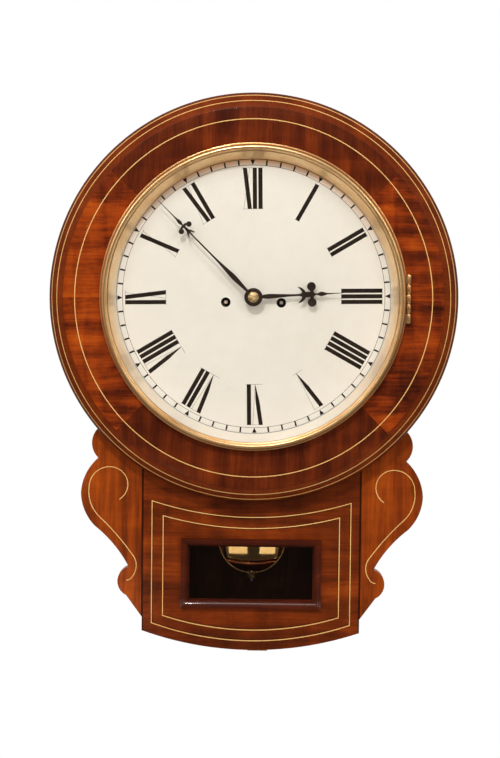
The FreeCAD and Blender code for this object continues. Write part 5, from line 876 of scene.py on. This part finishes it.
class CLOCK_OT_lines(bpy.types.Operator):
    """Boxwood lines of the surround, the trunk and the ears"""

    bl_idname = "clock.lines"
    bl_label = "Boxwood lines"

    def execute(self, context):
        width = millimetres(context.scene.clock_case.line_width)
        half = width / 2
        mesh = bmesh.new()
        section = rectangle(FACE_LINE - half, FACE + LINE_DEPTH, FACE_LINE + half, FACE - LINE_PROUD)
        add_lathe(mesh, section, 320, SURROUND_Z)
        for radius in MOULDING_LINES:
            add_lathe(mesh, moulding_strip(radius, half * 0.85), 320, SURROUND_Z)
        for half_width, top, top_dip, foot, foot_dip in FRAMES:
            path = sag(half_width, foot, foot_dip) + sag(half_width, top, top_dip)[::-1]
            add_ribbon(mesh, path, width, SURROUND_BACK + LINE_DEPTH, SURROUND_BACK - LINE_PROUD, True)
        for sign in (-1, 1):
            path = ear_curve(EAR_LINE, sign)
            add_ribbon(mesh, path, width, EAR_FRONT + LINE_DEPTH, EAR_FRONT - LINE_PROUD)
        piece("inlaid_lines", mesh, finish("boxwood"), "case", ["boxwood_stringing"], 50)
        return {"FINISHED"}


class CLOCK_OT_trunk(bpy.types.Operator):
    """Trunk front with the two scrolled ears"""

    bl_idname = "clock.trunk"
    bl_label = "Trunk and ears"

    def execute(self, context):
        dress("trunk_veneer", "trunk_front")
        mesh = bmesh.new()
        for sign in (-1, 1):
            outline = ear_curve(EAR_OUTLINE, sign)
            corner = (sign * HALF_BOX, EAR_TOP)
            add_prism(mesh, outline + [corner], EAR_FRONT + EAR_THICK, EAR_FRONT)
        ears = piece("scrolled_ears", mesh, finish("ear_wood"), "case", ["ears"], 30)
        soften(ears, millimetres(context.scene.clock_case.ear_rounding))
        return {"FINISHED"}


# Window


class CLOCK_OT_window(bpy.types.Operator):
    """Window moulding and the pane behind it"""

    bl_idname = "clock.window"
    bl_label = "Window"

    def execute(self, context):
        dress("moulding_wood", "window_moulding")
        dress("window_pane", "window_glass")
        return {"FINISHED"}


# Bezel

CREST, CREST_DEPTH = 160.9, -151.2
BEAD_OUT, BEAD_IN, BEAD_HIGH = 3.7, 2.9, 5.75
STEP_BEAD = 0.95


def bulge(radius, depth, across, high, steps, whole):
    """Points over an oval bulge, for some of the steps of its half turn."""
    angles = [step / whole * math.pi for step in steps]
    return [(radius + across * math.cos(angle), depth - high * math.sin(angle)) for angle in angles]


BEZEL_PROFILE = (
    [(159.0, FACE), (166.2, FACE), (166.5, -144.3)]
    + bulge(165.55, -145.3, STEP_BEAD, STEP_BEAD, range(9), 8)
    + bulge(CREST, CREST_DEPTH, BEAD_OUT, BEAD_HIGH, range(11), 20)
    + bulge(CREST, CREST_DEPTH, BEAD_IN, BEAD_HIGH, range(11, 21), 20)
    + [(157.6, -151.0), (157.0, -151.0), (157.0, -149.4), (159.0, -149.4)]
)
SIGHT_PROFILE = (
    [(158.6, -147.0), (158.6, -145.8), (150.75, -132.3), (150.4, -132.2)]
    + [(149.8, -132.2), (149.5, -132.45), (157.4, -147.0)]
)
HINGE_X, HINGE_Y, HINGE_RADIUS = 167.5, -146.6, 2.6
HINGE_LOW, HINGE_STEP, HINGE_GAP = -26.5, 10.6, 0.2
NOTCH_RADIUS, NOTCH_HALF = 2.9, 26.8
KNUCKLE_ENDS = [(0.25, 1.9), (0.35, 2.4), (0.75, HINGE_RADIUS)]


def add_knuckle(mesh, number):
    """Adds one of the hinge's five knuckles, counted from below, its ends a little rounded."""
    low = HINGE_LOW + number * HINGE_STEP
    rows = []
    for up, radius in KNUCKLE_ENDS + [(HINGE_STEP - up, radius) for up, radius in reversed(KNUCKLE_ENDS)]:
        ring = round_outline(radius, 32, HINGE_X, HINGE_Y)
        rows.append([vertex(mesh, x, depth, low + up) for x, depth in ring])
    add_stack(mesh, rows)


def add_lug(mesh, number):
    """Adds the block that ties an end knuckle to the bezel, clear of its neighbours."""
    low = HINGE_LOW + number * HINGE_STEP + HINGE_GAP
    add_prism(mesh, rectangle(163.4, low, 167.2, low + HINGE_STEP - 2 * HINGE_GAP), -148.7, FACE)


class CLOCK_OT_bezel(bpy.types.Operator):
    """Cast bezel with its pane, sight ring and hinge"""

    bl_idname = "clock.bezel"
    bl_label = "Bezel"

    def execute(self, context):
        mesh = bmesh.new()
        add_lathe(mesh, BEZEL_PROFILE, 360)
        ring = piece("cast_bezel", mesh, finish("bezel_brass"), "bezel", ["bezel_ring"], 40)
        cutter = bmesh.new()
        bmesh.ops.create_cone(
            cutter,
            cap_ends=True,
            segments=32,
            radius1=NOTCH_RADIUS * MM,
            radius2=NOTCH_RADIUS * MM,
            depth=2 * NOTCH_HALF * MM,
            matrix=Matrix.Translation((HINGE_X * MM, HINGE_Y * MM, DIAL_Z * MM)),
        )
        carve(ring, cutter)
        mesh = bmesh.new()
        add_lathe(mesh, SIGHT_PROFILE, 320)
        piece("sloping_sight_ring", mesh, finish("sight_brass"), "bezel", ["sight_ring"], 25)
        dress("bezel_pane", "bezel_glass")
        for name, body, node, which in (
            ("bezel_knuckles", "bezel", "bezel_hinge_leaf", (0, 2, 4)),
            ("surround_knuckles", "case", "surround_hinge_leaf", (1, 3)),
        ):
            mesh = bmesh.new()
            for number in which:
                add_knuckle(mesh, number)
            if body == "bezel":
                add_lug(mesh, 0)
                add_lug(mesh, 4)
                add_prism(mesh, rectangle(162.0, HINGE_LOW, 164.4, -HINGE_LOW), -145.2, FACE)
            else:
                add_prism(mesh, rectangle(166.9, HINGE_LOW, 168.1, -HINGE_LOW), -146.6, -132.0)
            piece(name, mesh, finish("case_brass"), body, [node], 40)
        dress("case_brass", "bezel_catch_stud")
        return {"FINISHED"}


# Dial

NUMERALS = ["XII", "I", "II", "III", "IIII", "V", "VI", "VII", "VIII", "IX", "X", "XI"]
# Widths of thick and thin strokes, and how far the serifs reach past a numeral
STROKE, HAIR, SERIF = 4.55, 0.26, 0.15
ADVANCE = {"I": 6.05, "V": 11.4, "X": 10.2}
V_LEFT, V_TIP, V_RIGHT, V_KNEE = -4.1, 1.9, 4.6, 0.42
X_SIDE, X_THIN_FOOT = 2.6, -4.0
DIAL_TURN = -0.96
# Depths of the printing, from inside the paint to its own faces
PRINT_BACK, PRINT_FRONT, CIRCLE_FRONT = DIAL_FRONT + 0.02, DIAL_FRONT - 0.05, DIAL_FRONT - 0.04


def turned_points(points, angle):
    """Points turned clockwise about the dial by an angle from the top."""
    turn = math.radians(angle)
    cos, sin = math.cos(turn), math.sin(turn)
    return [(x * cos + y * sin, y * cos - x * sin) for x, y in points]


def letter_strokes(letter, middle, foot, head):
    """The outlines of one letter's strokes about its middle."""
    half, hair = STROKE / 2, HAIR / 2

    def stroke(top, bottom, reach):
        return [(top - reach, head), (top + reach, head), (bottom + reach, foot), (bottom - reach, foot)]

    if letter == "I":
        return [stroke(middle, middle, half)]
    if letter == "V":
        left, tip = middle + V_LEFT, middle + V_TIP
        knee = foot + (head - foot) * V_KNEE
        knee_x = tip + (left - tip) * V_KNEE
        bent = stroke(left, tip, half)[:2] + [(knee_x + half * 0.96, knee)]
        bent += stroke(left, tip, hair)[2:] + [(knee_x - half * 0.96, knee)]
        return [bent, stroke(middle + V_RIGHT, tip, hair)]
    thick = stroke(middle - X_SIDE, middle + X_SIDE, half)
    return [thick, stroke(middle + X_SIDE, middle + X_THIN_FOOT, hair)]


def numeral_outlines(text, foot, head):
    """The stroke outlines of a numeral that stands at the top of the dial."""
    width = sum(ADVANCE[letter] for letter in text)
    place = -width / 2
    outlines = []
    for letter in text:
        outlines += letter_strokes(letter, place + ADVANCE[letter] / 2, foot, head)
        place += ADVANCE[letter]
    reach = width / 2 + SERIF
    for level in (foot + 0.1, head - 0.1):
        outlines.append(rectangle(-reach, level - HAIR / 2, reach, level + HAIR / 2))
    return outlines


def minute_mark(minute, inner, outer):
    """A block for each minute and a wedge for each fifth."""
    if minute % 5:
        return rectangle(-0.9, inner, 0.9, outer - 0.6)
    return [(0.0, inner - 0.1), (-2.5, outer - 0.7), (2.5, outer - 0.7)]


class CLOCK_OT_dial(bpy.types.Operator):
    """Painted dial with its printed numerals and minute track"""

    bl_idname = "clock.dial"
    bl_label = "Dial"

    def execute(self, context):
        sizes = context.scene.clock_dial
        foot, head = millimetres(sizes.numeral_inner), millimetres(sizes.numeral_outer)
        inner, outer = millimetres(sizes.track_inner), millimetres(sizes.track_outer)
        dress("dial_cream", "dial_plate")
        layers = {
            "numerals": [
                turned_points(outline, 30 * hour + DIAL_TURN)
                for hour, text in enumerate(NUMERALS)
                for outline in numeral_outlines(text, foot, head)
            ],
            "minute_marks": [
                turned_points(minute_mark(minute, inner, outer), 6 * minute + DIAL_TURN)
                for minute in range(60)
            ],
        }
        for number, (name, outlines) in enumerate(layers.items()):
            mesh = bmesh.new()
            for outline in outlines:
                add_prism(mesh, outline, PRINT_BACK, PRINT_FRONT - 0.01 * number)
            piece(name, mesh, finish("ink"), "case")
        mesh = bmesh.new()
        for radius in (inner, outer):
            add_lathe(mesh, rectangle(radius - 0.2, PRINT_BACK, radius + 0.2, CIRCLE_FRONT), 256)
        piece("minute_circles", mesh, finish("ink"), "case")
        return {"FINISHED"}


# Hands


def smooth_line(points, steps):
    """A smooth line through points, as a Catmull-Rom curve."""
    rows = [points[0]] + points + [points[-1]]
    out = []
    for n in range(len(points) - 1):
        p0, p1, p2, p3 = (Vector(p) for p in rows[n : n + 4])
        for k in range(steps):
            t = k / steps
            square, cube = 2 * p0 - 5 * p1 + 4 * p2 - p3, 3 * p1 - p0 - 3 * p2 + p3
            q = 0.5 * (2 * p1 + (p2 - p0) * t + square * t * t + cube * t**3)
            out.append((q.x, q.y))
    return out + [points[-1]]


# Each hand as its right edge, its spur and its arm, and its balls as (radius, across, height)
MINUTE_SHAPE = (
    [
        (1.3, 8.6), (2.3, 22.0), (2.75, 31.0), (2.0, 42.0), (1.05, 58.0), (0.8, 80.0), (0.85, 97.0),
        (1.6, 101.0), (1.3, 104.5), (0.8, 107.5), (0.85, 109.5), (1.9, 113.7), (1.05, 118.0),
        (0.6, 123.0), (0.3, 146.0),
    ],
    [(0.0, 97.6), (1.8, 97.2), (3.7, 94.4), (4.3, 94.9), (3.3, 98.4), (1.4, 101.0), (0.0, 101.6)],
    [
        (0.0, 105.2), (2.0, 106.2), (3.4, 106.0), (4.6, 104.6), (5.9, 106.2), (4.2, 108.2), (2.0, 108.9),
        (0.0, 108.6),
    ],
    (2.95, 5.7, 105.0),
)
HOUR_SHAPE = (
    [
        (1.3, 7.0), (2.3, 13.0), (2.6, 18.5), (1.95, 29.0), (1.2, 41.0), (1.2, 50.0), (2.2, 53.0),
        (3.1, 58.0), (2.5, 63.0), (2.2, 65.5), (0.9, 67.5), (1.2, 70.0), (2.5, 73.5), (1.6, 77.5),
        (0.75, 81.5), (0.25, 97.4),
    ],
    [(0.0, 52.0), (3.0, 52.6), (5.9, 50.9), (8.3, 48.6), (8.8, 49.3), (7.1, 53.2), (3.8, 56.3), (0.0, 57.0)],
    [(0.0, 60.8), (2.6, 61.6), (5.0, 61.4), (5.2, 65.0), (2.8, 65.4), (0.0, 66.2)],
    (4.75, 8.6, 63.2),
)
# Piece, node, body, shape, radius of the boss, angle from the top and depth of the back
HANDS = (
    ("minute_hand_dressed", "minute_hand", "centre_arbor", MINUTE_SHAPE, 9.9, 314.8, -140.95),
    ("hour_hand_dressed", "hour_hand", "hour_pipe", HOUR_SHAPE, 7.5, 86.7, -136.95),
)
HAND_THICK = 1.0


COLLET_PROFILE = (
    [(0.0, -144.2), (0.9, -144.2), (1.1, -144.8), (1.7, -145.0)]
    + arc((1.7, -145.0), (5.6, -142.9), 9.5, 8, 1)[1:]
    + [(5.85, -142.5), (5.85, -141.96), (0.0, -141.96)]
)


def add_hand(mesh, shape, boss, angle, back):
    """Adds one hand: its blade, spurs, arms, balls and boss, in layers that differ a hair in depth."""
    edge, spur, arm, (radius, out, height) = shape
    half = smooth_line(edge, 5)
    layers = [(half + [(-x, y) for x, y in reversed(half)], 0.0)]
    for sign in (-1, 1):
        for lift, line in ((0.02, spur), (0.04, arm)):
            layers.append((smooth_line([(sign * x, y) for x, y in line], 5), -lift))
        layers.append((round_outline(radius, 40, sign * out, height), 0.0))
    layers.append((round_outline(boss, 72), 0.05))
    for outline, proud in layers:
        add_prism(mesh, turned_points(outline, angle), back + proud, back - HAND_THICK - proud)


class CLOCK_OT_hands(bpy.types.Operator):
    """Hour hand, minute hand and the collet that holds them"""

    bl_idname = "clock.hands"
    bl_label = "Hands"

    def execute(self, context):
        for name, node, body, shape, boss, angle, back in HANDS:
            mesh = bmesh.new()
            add_hand(mesh, shape, boss, angle, back)
            hand = piece(name, mesh, finish("blued"), body, [node])
            soften(hand, 0.22, 2, 50)
        mesh = bmesh.new()
        add_lathe(mesh, COLLET_PROFILE, 64)
        piece("domed_collet", mesh, finish("collet_brass"), "centre_arbor", ["hand_collet"], 40)
        return {"FINISHED"}


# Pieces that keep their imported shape


class CLOCK_OT_carcass(bpy.types.Operator):
    """Box, doors, backboard, hanging plate, cleats, pegs and screws"""

    bl_idname = "clock.carcass"
    bl_label = "Carcass"

    def execute(self, context):
        dress("side_wood", "box_boards", "side_door", "bottom_door")
        dress("bare_wood", "backboard", "surround_cleats", "case_pegs")
        dress("iron", "hanging_plate")
        dress("steel", "case_screws")
        dress("case_brass", "door_hinges", "side_button", "bottom_button")
        return {"FINISHED"}


class CLOCK_OT_movement(bpy.types.Operator):
    """Plates, wheels, fusees, striking work and bell"""

    bl_idname = "clock.movement"
    bl_label = "Movement"

    def execute(self, context):
        dress("front_plate", "front_plate")
        dress("plate_brass", "back_plate", "plate_pillars", "dial_feet", "back_cock", "cannon_wheel")
        dress("plate_brass", "going_great_wheel", "strike_great_wheel", "centre_wheel", "third_wheel")
        dress("plate_brass", "going_barrel", "strike_barrel", "minute_wheel", "hour_wheel", "escape_wheel")
        dress("plate_brass", "pin_wheel", "pallet_wheel", "warning_wheel", "fly")
        dress("going_cone", "going_fusee")
        dress("strike_cone", "strike_fusee")
        dress("steel", "barrel_arbors", "pallets", "rack", "rack_hook", "lifting_piece", "hammer")
        dress("bell_metal", "bell")
        dress("gut", "fusee_lines")
        return {"FINISHED"}


class CLOCK_OT_pendulum(bpy.types.Operator):
    """Suspension spring, rod, bob and rating nut"""

    bl_idname = "clock.pendulum"
    bl_label = "Pendulum"

    def execute(self, context):
        dress("bob_brass", "pendulum_bob")
        dress("nut_brass", "rating_nut")
        dress("steel", "pendulum_rod", "suspension_spring")
        return {"FINISHED"}


# Stage

CAMERA_TURN, CAMERA_RISE, CAMERA_ROLL = 1.0, 3.913, 0.633
CAMERA_DISTANCE = 2200.0
CAMERA_TARGET = (-2.904, -130.0, -259.512)
FOCAL_PIXELS, PICTURE_WIDTH, SENSOR = 2018.5, 500.0, 36.0
ROOM_TINT, WHITE = (1.0, 0.9, 0.77, 1.0), (1.0, 1.0, 1.0, 1.0)
# Lamps as (name, place, size, power, colour), in metres and watts, all turned to one point
LAMP_TARGET = (0.0, -0.13, -0.24)
LAMPS = (
    ("overhead_softbox", (0.0, -1.7, 1.7), (1.2, 0.35), 8.0, (1.0, 0.99, 0.97)),
    ("key_softbox", (-0.32, -1.95, 1.25), (0.28, 0.18), 20.0, (1.0, 0.99, 0.98)),
    ("left_softbox", (-1.3, -1.7, 0.7), (0.55, 0.7), 7.0, (1.0, 0.98, 0.95)),
    ("right_softbox", (1.3, -1.7, 0.7), (0.55, 0.7), 7.0, (1.0, 0.98, 0.95)),
)
FILL_LAMP = ("front_fill", (0.15, -2.3, 0.0), (1.6, 1.2), 8.0, (1.0, 0.95, 0.88))
# Cards that the polished wood and brass mirror, as (name, across, width)
CARDS = (("left_card", -0.595, 0.77), ("right_card", 0.615, 0.65))
CARD_HEIGHT, CARD_POWER, CARD_COLOUR = 0.53, 1.85, (1.0, 0.97, 0.92)
FLOOR_RADIUS, FLOOR_Y, FLOOR_BOTTOM, FLOOR_TOP = 1.1, -0.1, -1.02, -1.0


def area_lamp(name, place, size, power, colour, target=LAMP_TARGET):
    """A softbox that the camera doesn't see."""
    lamp = bpy.data.lights.new(name, "AREA")
    lamp.shape = "RECTANGLE"
    lamp.size, lamp.size_y = size
    lamp.energy = power
    lamp.color = colour
    thing = bpy.data.objects.new(name, lamp)
    bpy.context.scene.collection.objects.link(thing)
    thing.location = place
    way = Vector(target) - Vector(place)
    thing.rotation_euler = way.to_track_quat("-Z", "Y").to_euler()
    thing.visible_camera = False
    return thing


def white_room(strength):
    """World light: white to the camera and behind the clock, softer from the front."""
    world = bpy.context.scene.world or bpy.data.worlds.new("room")
    bpy.context.scene.world = world
    world.use_nodes = True
    tree = world.node_tree
    tree.nodes.clear()
    rays = tree.nodes.new("ShaderNodeLightPath").outputs
    across, away, up = parts_of(tree.nodes.new("ShaderNodeTexCoord").outputs["Generated"])
    behind = spread(away, 0.35, 0.8)
    sharp = maths("MAXIMUM", rays["Is Glossy Ray"], rays["Is Transmission Ray"])
    white = maths("MAXIMUM", rays["Is Camera Ray"], times(sharp, behind))
    above = spread(up, 0.12, 0.75, 0.03, 0.55)
    aside = spread(maths("ABSOLUTE", across), 0.3, 0.85, 0.03, 0.55)
    below = minus(spread(up, -0.3, -0.8, 0.03, 0.3), rays["Is Transmission Ray"])
    front = maths("MAXIMUM", above, times(aside, spread(up, -0.5, 0.1, 0.3, 1.0)))
    front = maths("MAXIMUM", front, below)
    lit = times(minus(1.0, sharp), strength)
    level = maths("MAXIMUM", white, times_plus(sharp, front, lit))
    glow = put("ShaderNodeBackground", blend(white, ROOM_TINT, WHITE), level)
    output = tree.nodes.new("ShaderNodeOutputWorld")
    tree.links.new(glow.outputs[0], output.inputs[0])


def floor_finish(colour):
    """Pale floor, a little uneven."""
    material, shader, _, age = new_material("pale_floor", 3.0)
    dimmer = [level * 0.97 for level in colour]
    give(shader, Base_Color=blend(age["Blotches"], (*colour, 1.0), (*dimmer, 1.0)), Roughness=0.8)
    return material


class CLOCK_OT_stage(bpy.types.Operator):
    """Camera, softboxes, white room and pale floor"""

    bl_idname = "clock.stage"
    bl_label = "Stage"

    def execute(self, context):
        scene = context.scene
        for old in [o for o in scene.objects if o.name in ("Cube", "Light", "Camera")]:
            bpy.data.objects.remove(old)
        turn, rise, roll = (math.radians(v) for v in (CAMERA_TURN, CAMERA_RISE, CAMERA_ROLL))
        back = Vector((math.sin(turn) * math.cos(rise), -math.cos(turn) * math.cos(rise), math.sin(rise)))
        right = (-back).cross(Vector((0, 0, 1))).normalized()
        up = right.cross(-back)
        right, up = right * math.cos(roll) + up * math.sin(roll), up * math.cos(roll) - right * math.sin(roll)
        lens = bpy.data.cameras.new("front_view")
        lens.sensor_fit = "HORIZONTAL"
        lens.sensor_width = SENSOR
        lens.lens = FOCAL_PIXELS / PICTURE_WIDTH * SENSOR
        lens.clip_start, lens.clip_end = 0.05, 50.0
        camera = bpy.data.objects.new("front_view", lens)
        scene.collection.objects.link(camera)
        facing = Matrix((right, up, back)).transposed().to_4x4()
        place = (Vector(CAMERA_TARGET) + back * CAMERA_DISTANCE) * MM
        camera.matrix_world = Matrix.Translation(place) @ facing
        scene.camera = camera
        for lamp in LAMPS:
            area_lamp(*lamp)
        front = area_lamp(*FILL_LAMP)
        front.visible_glossy = front.visible_transmission = False
        for name, x, width in CARDS:
            size, target = (width, CARD_HEIGHT), (x * 0.2, -0.06, -0.46)
            card = area_lamp(name, (x, -1.75, -1.015), size, CARD_POWER * width, CARD_COLOUR, target)
            card.visible_diffuse = False
        white_room(scene.clock_stage.room_light)
        mesh = bmesh.new()
        edge = round_outline(FLOOR_RADIUS, 96)
        levels = (FLOOR_BOTTOM, FLOOR_TOP)
        add_stack(mesh, [[mesh.verts.new((x, y + FLOOR_Y, z)) for x, y in edge] for z in levels])
        bmesh.ops.recalc_face_normals(mesh, faces=mesh.faces)
        data = bpy.data.meshes.new("pale_floor")
        mesh.to_mesh(data)
        mesh.free()
        data.materials.append(floor_finish(tuple(scene.clock_stage.floor_colour)))
        floor = bpy.data.objects.new("pale_floor", data)
        scene.collection.objects.link(floor)
        floor.visible_glossy = floor.visible_transmission = False
        scene.view_settings.view_transform = "Standard"
        return {"FINISHED"}


class CLOCK_PT_pieces(bpy.types.Panel):
    """The clock's pieces and settings"""

    bl_label = "Drop dial clock"
    bl_idname = "CLOCK_PT_pieces"
    bl_space_type = "VIEW_3D"
    bl_region_type = "UI"
    bl_category = "Clock"

    def draw(self, context):
        for operator in OPERATORS:
            self.layout.operator(operator.bl_idname)
        for group, names in (
            (context.scene.clock_case, ("line_width", "ear_rounding")),
            (context.scene.clock_dial, ("numeral_inner", "numeral_outer", "track_inner", "track_outer")),
            (context.scene.clock_stage, ("floor_colour", "room_light")),
        ):
            for name in names:
                self.layout.prop(group, name)


GROUPS = {"clock_case": CaseSettings, "clock_dial": DialSettings, "clock_stage": StageSettings}
OPERATORS = [
    CLOCK_OT_surround,
    CLOCK_OT_lines,
    CLOCK_OT_trunk,
    CLOCK_OT_window,
    CLOCK_OT_bezel,
    CLOCK_OT_dial,
    CLOCK_OT_hands,
    CLOCK_OT_carcass,
    CLOCK_OT_movement,
    CLOCK_OT_pendulum,
    CLOCK_OT_stage,
]


def register():
    for name, group in GROUPS.items():
        bpy.utils.register_class(group)
        setattr(bpy.types.Scene, name, PointerProperty(type=group))
    for made in OPERATORS + [CLOCK_PT_pieces]:
        bpy.utils.register_class(made)


def unregister():
    for made in reversed(OPERATORS + [CLOCK_PT_pieces]):
        bpy.utils.unregister_class(made)
    for name, group in reversed(list(GROUPS.items())):
        delattr(bpy.types.Scene, name)
        bpy.utils.unregister_class(group)


def main():
    register()
    bpy.ops.clock.surround()
    bpy.ops.clock.lines()
    bpy.ops.clock.trunk()
    bpy.ops.clock.window()
    bpy.ops.clock.bezel()
    bpy.ops.clock.dial()
    bpy.ops.clock.hands()
    bpy.ops.clock.carcass()
    bpy.ops.clock.movement()
    bpy.ops.clock.pendulum()
    bpy.ops.clock.stage()


if __name__ == "__main__":
    main()
